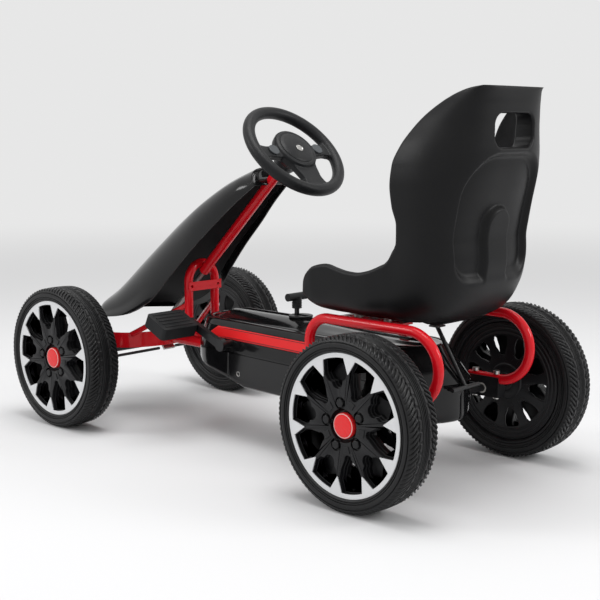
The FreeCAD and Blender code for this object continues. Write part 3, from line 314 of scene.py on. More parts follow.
def tube(path: np.ndarray, radius: float | np.ndarray, name: str, sides: int = 20,
         closed: bool = False) -> bpy.types.Mesh:
    """Round tube with capped ends along a path in millimetres.

    Args:
        path: Points of its centre line.
        radius: One radius, or one for each point.
        name: Name of the mesh.
        sides: Corners of its section.
        closed: Whether the path closes on itself.

    Returns:
        The mesh.
    """
    path = np.asarray(path, float)
    if closed:
        path = np.concatenate([path, path[:1]])
    ahead = np.gradient(path, axis=0)
    if closed:
        ahead[0] = ahead[-1] = path[1] - path[-2]
    ahead /= np.linalg.norm(ahead, axis=1)[:, None]
    side = np.cross(ahead[0], [0.31, 0.17, 0.93])
    radii = np.broadcast_to(np.asarray(radius, float), len(path))
    angle = np.linspace(0, 2 * math.pi, sides, endpoint=False)
    rings = []
    for at, along, size in zip(path, ahead, radii):
        side = side - along * np.dot(side, along)
        side /= np.linalg.norm(side)
        up = np.cross(along, side)
        rings.append(at + size * (np.cos(angle)[:, None] * side + np.sin(angle)[:, None] * up))
    if closed:
        rings[-1] = rings[0]
    faces = faces_of_grid(len(rings), sides, True)
    if not closed:
        faces += [tuple(range(sides)), tuple((len(rings) - 1) * sides + i for i in range(sides))]
    return mesh_from(np.array(rings), faces, name)


def joined(meshes: list[bpy.types.Mesh], name: str) -> bpy.types.Mesh:
    """One mesh from several, kept apart inside it.

    Args:
        meshes: The meshes to put together.
        name: Name of the mesh.

    Returns:
        The new mesh.
    """
    whole = bmesh.new()
    for mesh in meshes:
        whole.from_mesh(mesh)
    out = bpy.data.meshes.new(name)
    whole.to_mesh(out)
    whole.free()
    return out


def bake(piece: bpy.types.Object) -> bpy.types.Object:
    """Apply every modifier of a piece to its mesh.

    Args:
        piece: The piece, whose modifiers are used up.

    Returns:
        The same piece.
    """
    graph = bpy.context.evaluated_depsgraph_get()
    mesh = bpy.data.meshes.new_from_object(piece.evaluated_get(graph))
    piece.modifiers.clear()
    piece.data = mesh
    return piece


def soften(piece: bpy.types.Object, width: float, angle: float = 35.0) -> None:
    """Round a CAD node's edges with a weld and a bevel, leaving its own mesh alone.

    Args:
        piece: The node.
        width: Radius of its rounded edges in millimetres.
        angle: Smallest corner that is rounded, in degrees.
    """
    weld = piece.modifiers.new("weld", "WELD")
    weld.merge_threshold = 1e-5
    edge = piece.modifiers.new("edge", "BEVEL")
    edge.width = width * MM
    edge.segments = 2
    edge.limit_method = "ANGLE"
    edge.angle_limit = math.radians(angle)
    edge.use_clamp_overlap = True
    even = piece.modifiers.new("even", "WEIGHTED_NORMAL")
    even.keep_sharp = False
    piece.data.polygons.foreach_set("use_smooth", [True] * len(piece.data.polygons))


# ------------------------------------------------------------------ finishes
def new_group(name: str, inputs: dict[str, float], outputs: list[str]) -> bpy.types.NodeTree:
    """Empty shader group with named number inputs and outputs.

    Args:
        name: Name of the group.
        inputs: Input names and default values.
        outputs: Output names.

    Returns:
        The node group, with its two end nodes named in and out.
    """
    tree = bpy.data.node_groups.new(name, "ShaderNodeTree")
    for label, value in inputs.items():
        socket = tree.interface.new_socket(label, in_out="INPUT", socket_type="NodeSocketFloat")
        socket.default_value = value
    for label in outputs:
        tree.interface.new_socket(label, in_out="OUTPUT", socket_type="NodeSocketFloat")
    tree.nodes.new("NodeGroupInput").name = "in"
    tree.nodes.new("NodeGroupOutput").name = "out"
    return tree


def math_node(tree: bpy.types.NodeTree, kind: str, *values: object) -> bpy.types.NodeSocket:
    """Math node whose inputs are sockets or numbers; returns its output socket.

    Args:
        tree: Tree it goes in.
        kind: Name of the operation.
        values: Sockets or numbers.

    Returns:
        The output socket.
    """
    node = tree.nodes.new("ShaderNodeMath")
    node.operation = kind
    for index, value in enumerate(values):
        if isinstance(value, bpy.types.NodeSocket):
            tree.links.new(value, node.inputs[index])
        else:
            node.inputs[index].default_value = value
    return node.outputs[0]


def noise_node(tree: bpy.types.NodeTree, scale: object, detail: float = 4.0) -> bpy.types.NodeSocket:
    """Noise over object space; returns its value socket.

    Args:
        tree: Tree it goes in.
        scale: Socket or number.
        detail: Number of octaves.

    Returns:
        The value socket.
    """
    place = tree.nodes.new("ShaderNodeTexCoord")
    node = tree.nodes.new("ShaderNodeTexNoise")
    node.inputs["Detail"].default_value = detail
    tree.links.new(place.outputs["Object"], node.inputs["Vector"])
    if isinstance(scale, bpy.types.NodeSocket):
        tree.links.new(scale, node.inputs["Scale"])
    else:
        node.inputs["Scale"].default_value = scale
    return node.outputs["Fac"]


def grain_group() -> bpy.types.NodeTree:
    """Fine pebbled grain over soft waviness, as height and as a mask.

    Returns:
        The node group.
    """
    tree = new_group("moulding_grain", {"Grain Size": 900.0, "Grain": 1.0, "Waves": 0.2}, ["Height", "Mask"])
    start, end = tree.nodes["in"], tree.nodes["out"]
    place = tree.nodes.new("ShaderNodeTexCoord")
    cells = tree.nodes.new("ShaderNodeTexVoronoi")
    cells.feature = "SMOOTH_F1"
    tree.links.new(place.outputs["Object"], cells.inputs["Vector"])
    tree.links.new(start.outputs["Grain Size"], cells.inputs["Scale"])
    fine = math_node(tree, "MULTIPLY", cells.outputs["Distance"], start.outputs["Grain"])
    wave = math_node(tree, "MULTIPLY", noise_node(tree, 14.0, 2.0), start.outputs["Waves"])
    tree.links.new(math_node(tree, "ADD", fine, wave), end.inputs["Height"])
    tree.links.new(cells.outputs["Distance"], end.inputs["Mask"])
    return tree


def wear_group() -> bpy.types.NodeTree:
    """Rubbed convex edges, settled dust and blotchy gloss, each as a mask.

    Returns:
        The node group.
    """
    tree = new_group("edge_and_dust", {"Blotch Size": 9.0, "Edge": 1.0, "Dust": 1.0},
                     ["Edge Mask", "Dust Mask", "Blotch"])
    start, end = tree.nodes["in"], tree.nodes["out"]
    shape = tree.nodes.new("ShaderNodeNewGeometry")
    bump = math_node(tree, "SUBTRACT", shape.outputs["Pointiness"], 0.52)
    sharp = math_node(tree, "MULTIPLY", math_node(tree, "MAXIMUM", bump, 0.0), 9.0)
    broken = math_node(tree, "MULTIPLY", sharp, noise_node(tree, 60.0))
    edge = math_node(tree, "MULTIPLY", math_node(tree, "MINIMUM", broken, 1.0), start.outputs["Edge"])
    split = tree.nodes.new("ShaderNodeSeparateXYZ")
    tree.links.new(shape.outputs["Normal"], split.inputs[0])
    upward = math_node(tree, "MAXIMUM", split.outputs["Z"], 0.0)
    settled = math_node(tree, "POWER", noise_node(tree, 35.0, 8.0), 3.0)
    dust = math_node(tree, "MULTIPLY", math_node(tree, "MULTIPLY", upward, settled), start.outputs["Dust"])
    tree.links.new(edge, end.inputs["Edge Mask"])
    tree.links.new(dust, end.inputs["Dust Mask"])
    tree.links.new(noise_node(tree, start.outputs["Blotch Size"], 5.0), end.inputs["Blotch"])
    return tree


@dataclass(frozen=True)
class Finish:
    """One material: its colours, gloss and grain."""

    name: str
    colour: tuple[float, float, float]
    roughness: float
    metallic: float = 0.0
    coat: float = 0.0
    specular: float = 0.5
    grain: float = 0.2
    grain_size: float = 900.0
    waves: float = 0.2
    bump: float = 0.1
    edge: float = 0.3
    edge_colour: tuple[float, float, float] = (0.3, 0.3, 0.3)
    dust: float = 0.25
    blotch: float = 0.06

    def build(self, groups: dict[str, bpy.types.NodeTree]) -> bpy.types.Material:
        """Make the material from the shared groups.

        Args:
            groups: The shared node groups by name.

        Returns:
            The new material.
        """
        material = bpy.data.materials.new(self.name)
        material.use_nodes = True
        tree = material.node_tree
        shader = tree.nodes["Principled BSDF"]
        shader.inputs["Metallic"].default_value = self.metallic
        shader.inputs["Coat Weight"].default_value = self.coat
        shader.inputs["Coat Roughness"].default_value = 0.06
        shader.inputs["Specular IOR Level"].default_value = self.specular
        wear = tree.nodes.new("ShaderNodeGroup")
        wear.node_tree = groups["wear"]
        wear.inputs["Edge"].default_value = self.edge
        wear.inputs["Dust"].default_value = self.dust
        rubbed = self.mixed(tree, wear.outputs["Edge Mask"], self.colour, self.edge_colour)
        dusty = self.mixed(tree, wear.outputs["Dust Mask"], rubbed, (0.42, 0.40, 0.37))
        tree.links.new(dusty, shader.inputs["Base Color"])
        centred = math_node(tree, "SUBTRACT", wear.outputs["Blotch"], 0.5)
        spread = math_node(tree, "MULTIPLY", centred, 4 * self.blotch)
        matt = math_node(tree, "MULTIPLY", wear.outputs["Dust Mask"], 0.5)
        rough = math_node(tree, "ADD", math_node(tree, "ADD", spread, matt), self.roughness)
        tree.links.new(rough, shader.inputs["Roughness"])
        grain = tree.nodes.new("ShaderNodeGroup")
        grain.node_tree = groups["grain"]
        grain.inputs["Grain Size"].default_value = self.grain_size
        grain.inputs["Grain"].default_value = self.grain
        grain.inputs["Waves"].default_value = self.waves
        bump = tree.nodes.new("ShaderNodeBump")
        bump.inputs["Strength"].default_value = self.bump
        bump.inputs["Distance"].default_value = 0.001
        tree.links.new(grain.outputs["Height"], bump.inputs["Height"])
        tree.links.new(bump.outputs["Normal"], shader.inputs["Normal"])
        return material

    @staticmethod
    def mixed(tree: bpy.types.NodeTree, mask: bpy.types.NodeSocket, base: object,
              top: object) -> bpy.types.NodeSocket:
        """Colour mix by a mask; each colour is a socket or three numbers.

        Args:
            tree: Tree it goes in.
            mask: Socket with the share of the top colour.
            base: Colour where the mask is 0.
            top: Colour where the mask is 1.

        Returns:
            The colour socket.
        """
        node = tree.nodes.new("ShaderNodeMix")
        node.data_type = "RGBA"
        tree.links.new(mask, node.inputs["Factor"])
        for label, value in (("A", base), ("B", top)):
            socket = [s for s in node.inputs if s.name == label and s.type == "RGBA"][0]
            if isinstance(value, bpy.types.NodeSocket):
                tree.links.new(value, socket)
            else:
                socket.default_value = (*value, 1.0)
        return [s for s in node.outputs if s.type == "RGBA"][0]


FINISHES = {finish.name: finish for finish in (
    Finish("frame_paint", (0.6, 0.004, 0.011), 0.24, coat=0.28, specular=0.15, grain=0.05, waves=0.5,
           bump=0.08, edge=0.2, edge_colour=(0.62, 0.06, 0.05), dust=0.05),
    Finish("black_paint", (0.006, 0.006, 0.007), 0.34, coat=0.25, specular=0.25, waves=0.5,
           edge_colour=(0.07, 0.07, 0.07), dust=0.08),
    Finish("zinc_steel", (0.52, 0.51, 0.49), 0.32, metallic=1.0, grain=0.4, grain_size=2400, bump=0.12,
           edge=0.4, edge_colour=(0.8, 0.8, 0.78), dust=0.08, blotch=0.12),
    Finish("shell_gloss", (0.004, 0.004, 0.0045), 0.14, coat=0.24, specular=0.2, grain=0.03, waves=0.35,
           bump=0.04, edge=0.1, edge_colour=(0.06, 0.06, 0.06), dust=0.05, blotch=0.03),
    Finish("shell_inside", (0.008, 0.008, 0.009), 0.55, specular=0.25, grain=0.6, bump=0.3, dust=0.15),
    Finish("stripe_red", (0.62, 0.008, 0.010), 0.32, coat=0.15, specular=0.2, grain=0.05, bump=0.05,
           edge=0.1, dust=0.05),
    Finish("satin_black", (0.009, 0.0095, 0.0105), 0.4, specular=0.2, grain=1.0, grain_size=1500,
           bump=0.16, edge=0.3, edge_colour=(0.07, 0.07, 0.07), dust=0.1),
    Finish("seat_black", (0.0055, 0.0055, 0.006), 0.38, specular=0.17, grain=1.0, grain_size=1300,
           waves=0.6, bump=0.12, edge=0.3, edge_colour=(0.06, 0.06, 0.062), dust=0.07, blotch=0.05),
    Finish("rim_black", (0.005, 0.005, 0.006), 0.36, specular=0.26, grain=0.6, grain_size=1600, bump=0.1,
           edge=0.3, edge_colour=(0.06, 0.06, 0.06), dust=0.08),
    Finish("ring_silver", (0.62, 0.625, 0.635), 0.36, specular=0.35, grain=0.3, grain_size=2200,
           bump=0.06, edge=0.2, edge_colour=(0.6, 0.6, 0.6), dust=0.05, blotch=0.04),
    Finish("cap_red", (0.68, 0.012, 0.014), 0.26, coat=0.3, specular=0.25, grain=0.05, bump=0.04,
           edge=0.1, dust=0.04),
    # Pale pinkish colour of the cap's rim ring: a painted highlight on the red cap, not a part of its own.
    Finish("cap_rim_highlight", (0.62, 0.55, 0.52), 0.35, grain=0.1, bump=0.05, dust=0.05),
    Finish("foam_tyre", (0.0035, 0.0036, 0.0042), 0.4, specular=0.3, grain=1.2, grain_size=1100,
           waves=0.4, bump=0.2, edge=0.6, edge_colour=(0.045, 0.045, 0.047), dust=0.1, blotch=0.06),
    Finish("button_grey", (0.05, 0.055, 0.06), 0.4, specular=0.3, grain=0.5, dust=0.1),
    Finish("chain_steel", (0.14, 0.135, 0.13), 0.42, metallic=1.0, grain=0.8, bump=0.2, dust=0.1,
           blotch=0.15),
    Finish("bush_nylon", (0.45, 0.44, 0.41), 0.45, grain=0.4, dust=0.1),
)}


class Paintbox:
    """Builds each finish once and puts it on pieces."""

    def __init__(self) -> None:
        """Make the shared groups and every material."""
        groups = {"grain": grain_group(), "wear": wear_group()}
        self.materials = {name: finish.build(groups) for name, finish in FINISHES.items()}

    def coat(self, piece: bpy.types.Object, finish: str) -> None:
        """Give a piece one finish all over."""
        piece.data.materials.clear()
        piece.data.materials.append(self.materials[finish])

    def add_inside(self, piece: bpy.types.Object) -> None:
        """Give the faces that look towards the column a matt finish.

        Args:
            piece: The finished piece.
        """
        piece.data.materials.append(self.materials["shell_inside"])
        for face in piece.data.polygons:
            if face.normal.y * 0.6 - face.normal.z * 0.8 > 0.12:
                face.material_index = 1

    def add(self, piece: bpy.types.Object, body: str, finish: str,
            slot: str | None = None) -> bpy.types.Object:
        """Finish a new piece and let it ride on a body.

        Args:
            piece: The new object, in place.
            body: Body it moves with.
            finish: Name of its finish.
            slot: Material slot of the record, if it isn't the finish's own name; not used.

        Returns:
            The same object.
        """
        self.coat(piece, finish)
        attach(piece, body)
        LOG.info("piece %s on %s, %d faces", piece.name, body, len(piece.data.polygons))
        return piece


# ------------------------------------------------------------------ wheels
class Window(Enum):
    """The two kinds of opening in a wheel's face."""

    POCKET = "pocket"
    OPEN = "open"


@dataclass
class Wheels:
    """Treaded foam tyres on spoked rims, each mesh built once and copied for the four wheels."""

    paint: Paintbox
    tyre_radius: float = 152.5
    tyre_width: float = 74.0
    rim_radius: float = 124.7
    plate_face: float = -6.5
    nut_circle: float = 39.0
    spoke_pairs: int = 5
    sipes: int = 100
    around_steps: int = 800
    phase: float = 11.0
    web_depth: float = -67.0
    ring_inner: float = 116.3
    tooth_tip: float = 90.0
    sidewall: list[tuple[float, float]] = field(default_factory=lambda: [
        # depth behind the outer face, radius
        (-1.25, 143.7), (-2.7, 143.0), (-2.7, 141.9), (-0.8, 141.1), (-0.15, 139.0), (-0.05, 136.4),
        (-0.5, 133.8), (-2.4, 133.0), (-2.4, 132.1), (-0.8, 131.4), (-1.1, 130.3), (-2.9, 129.6),
        (-2.9, 128.7), (-1.5, 128.0), (-1.7, 126.7), (-2.8, 125.5), (-5.0, 124.7)])

    def tread_depth(self, run: np.ndarray, across: np.ndarray) -> np.ndarray:
        """Depth of the tread's grooves.

        Args:
            run: Distance round the tyre before the grooves are slanted, as a share of a full turn.
            across: Distance from the outer face in millimetres.

        Returns:
            Depth below the crown in millimetres.
        """
        inward = self.tyre_width / 2 - np.abs(across - self.tyre_width / 2)
        sipe = np.abs((run * self.sipes) % 1.0 - 0.5)
        pair = np.abs((run * self.sipes / 2) % 1.0 - 0.5)
        shoulder = ease(inward, 1.6, 3.4) * ease(inward, 19.4, 18.0)
        depth = 3.6 * shoulder * ease(sipe, 0.31, 0.12)
        rib = ease(inward, 21.5, 22.6) * ease(inward, 27.6, 26.4)
        depth = np.maximum(depth, 1.8 * rib * ease(pair, 0.2, 0.1))
        wave = 20.6 + 0.9 * np.sin(run * 2 * math.pi * self.sipes / 2)
        depth = np.maximum(depth, 2.6 * ease(np.abs(inward - wave), 1.7, 0.8))
        for place in (28.8, 33.0, 37.0):
            depth = np.maximum(depth, 2.4 * ease(np.abs(inward - place), 1.5, 0.6))
        return depth

    def tyre_mesh(self) -> bpy.types.Mesh:
        """Tyre with its outer face at x = 0 and its width towards negative x.

        Returns:
            The mesh.
        """
        width = self.tyre_width
        fine = np.concatenate([np.linspace(1.6, 6.0, 8)[:-1], np.linspace(6.0, 19.0, 9)[:-1],
                               np.linspace(19.0, width / 2, 24)])
        across = np.concatenate([fine, (width - fine)[::-1][1:]])
        inward = width / 2 - np.abs(across - width / 2)
        crown = self.tyre_radius - 1.8 * (1.0 - inward / (width / 2)) ** 2
        drop = 1.0 - np.clip((inward - 1.6) / 6.5, 0, 1)
        radius = crown - 6.4 * (1 - np.sqrt(np.maximum(0.0, 1 - drop ** 2)))
        run = np.linspace(0, 1, self.around_steps, endpoint=False)
        tread = radius[None, :] - self.tread_depth(run[:, None], across[None, :])
        side = np.array(self.sidewall)
        rows = self.around_steps
        near = np.broadcast_to(side[None, ::-1], (rows, len(side), 2))
        top = np.stack([np.broadcast_to(-across, tread.shape), tread], axis=2)
        mirrored = np.stack([-width - side[:, 0], side[:, 1]], axis=1)
        far = np.broadcast_to(mirrored[None], (rows, len(side), 2))
        profile = np.concatenate([near, top, far], axis=1)
        slant = np.clip(inward, 2.0, 19.0) * 0.085 / self.sipes
        lead = np.full(len(side), slant[0])
        shift = np.concatenate([lead, slant, lead])
        angle = (run[:, None] + shift[None, :]) * 2 * math.pi
        out, size = profile[:, :, 0], profile[:, :, 1]
        points = np.stack([out, size * np.cos(angle), size * np.sin(angle)], axis=2)
        points = np.concatenate([points, points[:1]])
        return mesh_from(points, faces_of_grid(rows + 1, points.shape[1], True), "tyre")

    @staticmethod
    def turned_outline(outline: np.ndarray, degrees: float) -> np.ndarray:
        """Outline in the wheel's plane, turned about its middle."""
        c, s = math.cos(math.radians(degrees)), math.sin(math.radians(degrees))
        return outline @ np.array([[c, s], [-s, c]])

    def window(self, top: float, waist: float, foot: float, foot_half: float, half: float) -> np.ndarray:
        """Outline of one window, upright about the wheel's middle.

        Args:
            top: Radius of its outer edge.
            waist: Radius where its sides start to close in.
            foot: Radius of its inner end.
            foot_half: Half width just above the inner end.
            half: Half width at the outer edge.

        Returns:
            Closed outline as points.
        """
        wide = half * 1.13
        knee = ((wide + foot_half) / 2 + 2.0, (waist + foot) / 2 + 2.0)
        side = np.array([(half, top - 1.0), (wide, waist), knee])
        corner = np.linspace(0, math.pi / 2, 7)
        reach = foot_half + 0.8
        low = np.stack([reach * np.cos(corner), foot + reach * (1 - np.sin(corner))], axis=1)
        head = np.stack([np.linspace(0, half - 1.5, 6), np.full(6, top)], axis=1)
        head[:, 1] = np.sqrt(top ** 2 - head[:, 0] ** 2)
        right = np.concatenate([head, side, low])
        left = right[::-1][1:-1] * np.array([-1, 1])
        return np.concatenate([right, left])

    @staticmethod
    def circle(radius: float, steps: int = 96) -> np.ndarray:
        """Circle about the middle as an outline."""
        angle = np.linspace(0, 2 * math.pi, steps, endpoint=False)
        return np.stack([radius * np.cos(angle), radius * np.sin(angle)], axis=1)

    def cutters(self, kind: Window, step: int, depth: float) -> list[bpy.types.Mesh]:
        """Cutters for one set of five windows at one step.

        Args:
            kind: Closed pocket or open window.
            step: 0 for the widest cut at the face, then 1 and 2.
            depth: Where the cut ends, along X.

        Returns:
            Five closed blocks.
        """
        pitch = 360.0 / self.spoke_pairs
        first = 0.0 if kind is Window.POCKET else pitch / 2
        foot, foot_half = (63.0, 10.8) if kind is Window.POCKET else (50.0, 6.5)
        top = (115.8, 111.5, 107.5)[step]
        outline = self.window(top, 90.0 - 1.3 * step, foot + 0.9 * step, foot_half - 0.7 * step,
                              22.2 - 0.9 * step)
        start = self.plate_face + 2.0 + step
        return [prism(self.turned_outline(outline, first + pitch * i), depth, start, "cut")
                for i in range(self.spoke_pairs)]

    def rim_mesh(self) -> bpy.types.Mesh:
        """Rim: deep spoked face with stepped windows, barrel, back web, hub and five nuts.

        Returns:
            The mesh, its outer side towards positive x.
        """
        hub = lathe([(-17.0, 20.5), (-17.0, 7.2), (-70.5, 7.2), (-70.5, 16.0), (-69.5, 17.0), (-33.0, 20.5)],
                    "hub", 72)
        return joined([self.spoked_face(), self.barrel(), self.back_web(), hub] + self.nuts(), "rim")

    def spoked_face(self) -> bpy.types.Mesh:
        """Disc with nut sockets, cut by pockets and windows in three steps.

        Returns:
            The mesh.
        """
        pitch, face = 360.0 / self.spoke_pairs, self.plate_face
        body = lathe([(face, 29.0), (face, 117.5), (-33.0, 117.5), (-33.0, 20.0), (-17.0, 20.0),
                      (-17.0, 25.5), (-13.0, 29.0)], "disc", 180)
        hole = self.circle(10.4, 32) + np.array([0.0, self.nut_circle])
        sockets = [prism(self.turned_outline(hole, pitch * i), face - 5.5, face + 3, "cut")
                   for i in range(self.spoke_pairs)]
        body = carved(body, sockets, 0.0, "disc")
        for step, (shut, through) in enumerate(((-14.0, -14.6), (-21.0, -21.8), (-29.5, -36.0))):
            body = carved(body, self.cutters(Window.POCKET, step, shut), 0.0, "disc")
            body = carved(body, self.cutters(Window.OPEN, step, through), 1.0 if step == 2 else 0.0, "disc")
        return body

    def barrel(self) -> bpy.types.Mesh:
        """Ring that carries the tyre, from the face to the back.

        Returns:
            The mesh.
        """
        face, back, seat = self.plate_face, -self.tyre_width + 3.0, self.rim_radius
        return lathe([(-33.0, 117.0), (face - 0.6, 117.0), (face, 117.8), (face, seat - 0.6),
                      (face - 0.6, seat), (back + 1, seat), (back, seat - 1), (back, 121.0), (back + 1, 119.6),
                      (-66.0, 118.6), (-63.0, 114.5), (-33.0, 112.5)], "barrel", 180)

    def back_web(self) -> bpy.types.Mesh:
        """Ridged web that closes the back between ten openings.

        Returns:
            The mesh.
        """
        deep = self.web_depth
        profile = [(-63.0, 16.5), (-63.0, 116.0), (deep, 116.0), (deep, 113.6)]
        for high, low in ((113.0, 110.5), (105.0, 102.5)):
            profile += [(deep - 1.2, high), (deep - 1.2, low), (deep, low - 0.5), (deep, low - 5.0)]
        profile += [(deep - 1.0, 97.0), (deep - 1.0, 95.0), (deep, 94.5), (deep, 36.0), (-69.5, 34.0),
                    (-69.5, 16.5)]
        hole = self.window(91.0, 82.0, 52.0, 7.0, 14.6)
        pitch = 180.0 / self.spoke_pairs
        holes = [prism(self.turned_outline(hole, pitch * i), -75.0, -55.0, "cut")
                 for i in range(2 * self.spoke_pairs)]
        return carved(lathe(profile, "web", 180), holes, 0.7, "web")

    def nuts(self) -> list[bpy.types.Mesh]:
        """Five hexagon nuts and the low pads between them.

        Returns:
            The meshes in place.
        """
        pitch = 360.0 / self.spoke_pairs
        hexagon = self.circle(7.7, 6)
        pad = np.array([(-5.0, 35.0), (5.0, 35.0), (6.8, 47.0), (-6.8, 47.0)])
        made = []
        for index in range(self.spoke_pairs):
            nut = plate([hexagon], 8.0, 1.3, "nut")
            nut.transform(Matrix.Translation((MM * -8.6, 0, MM * self.nut_circle)))
            lift = plate([pad], 2.4, 0.7, "pad")
            lift.transform(Matrix.Translation((MM * (self.plate_face + 0.2), 0, 0)))
            nut.transform(Matrix.Rotation(math.radians(pitch * index), 4, "X"))
            lift.transform(Matrix.Rotation(math.radians(pitch * (index + 0.5)), 4, "X"))
            made += [nut, lift]
        return made

    def ring_mesh(self) -> bpy.types.Mesh:
        """Silver ring with ten inward teeth.

        Returns:
            The mesh.
        """
        outline = self.circle(self.rim_radius - 0.2, 240)
        inner_radius, tip, base = self.ring_inner, self.tooth_tip, math.radians(6.4)
        inner = []
        for tooth in range(2 * self.spoke_pairs):
            middle = math.pi * tooth / self.spoke_pairs + math.pi / 10
            for offset in (-base, 0.0, base):
                radius = tip if offset == 0.0 else inner_radius
                spread = np.array([-1.0, 1.0]) * (0.5 / radius) if offset == 0.0 else np.array([0.0])
                turns = middle + offset + spread
                inner += [(radius * math.cos(a), radius * math.sin(a)) for a in turns]
            gap = np.linspace(middle + base, middle + math.pi / 5 - base, 8)[1:-1]
            inner += [(inner_radius * math.cos(a), inner_radius * math.sin(a)) for a in gap]
        ring = plate([outline, self.turned_outline(np.array(inner), -18.0)], 2.5, 0.6, "trim_ring")
        ring.transform(Matrix.Translation((MM * (self.plate_face + 1.25), 0, 0)))
        return ring

    def cap_meshes(self) -> tuple[bpy.types.Mesh, bpy.types.Mesh]:
        """Domed centre cap and a pale ring on its rounded rim, which is a painted highlight on the red cap.

        Returns:
            The cap and the ring.
        """
        cap = lathe([(-15.8, 18.0), (-15.8, 21.4), (-15.2, 22.0), (-7.2, 22.0), (-6.3, 21.4), (-6.0, 20.6),
                     (-5.6, 12.0), (-5.4, 0.0), (-7.8, 0.0), (-7.8, 18.0)], "cap", 72)
        # Thin ring on the cap's rounded rim that carries the painted highlight.
        band = lathe([(-6.4, 19.8), (-6.4, 21.0), (-5.85, 20.8), (-5.7, 19.9)], "cap_band", 72)
        return cap, band

    def build(self) -> None:
        """Place all four wheels."""
        cap, band = self.cap_meshes()
        kinds = {"tyre": (self.tyre_mesh(), "foam_tyre", 38.0), "rim": (self.rim_mesh(), "rim_black", 34.0),
                 "trim_ring": (self.ring_mesh(), "ring_silver", 30.0), "centre_cap": (cap, "cap_red", 40.0),
                 "cap_band": (band, "cap_rim_highlight", 40.0)}
        for end in WHEEL_ENDS:
            for index, side in enumerate(SIDES):
                low, high = (Vector(corner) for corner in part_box(f"{end}_{side}_tyre"))
                middle = (low + high) / 2
                face = high.x if side == "left" else low.x
                body = {"front_left": "front_left_wheel", "front_right": "front_right_wheel",
                        "rear_left": "rear_axle", "rear_right": "rear_right_wheel"}[f"{end}_{side}"]
                way = 1.0 if side == "left" else -1.0
                rolled = Matrix.Rotation(math.radians(way * self.phase), 4, "X")
                turn = Matrix.Rotation(math.pi * index, 4, "Z") @ rolled
                for kind, (mesh, finish, angle) in kinds.items():
                    turned = mesh.copy()
                    turned.transform(turn)
                    piece = link(turned, f"{end}_{side}_{kind}_shape", angle)
                    piece.location = (face, middle.y, middle.z)
                    # The cap's pale ring is a painted highlight, so it keeps the red cap's record slot.
                    self.paint.add(piece, body, finish, "cap_red" if kind == "cap_band" else None)
                    if kind != "cap_band":
                        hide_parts(f"{end}_{side}_{kind}")


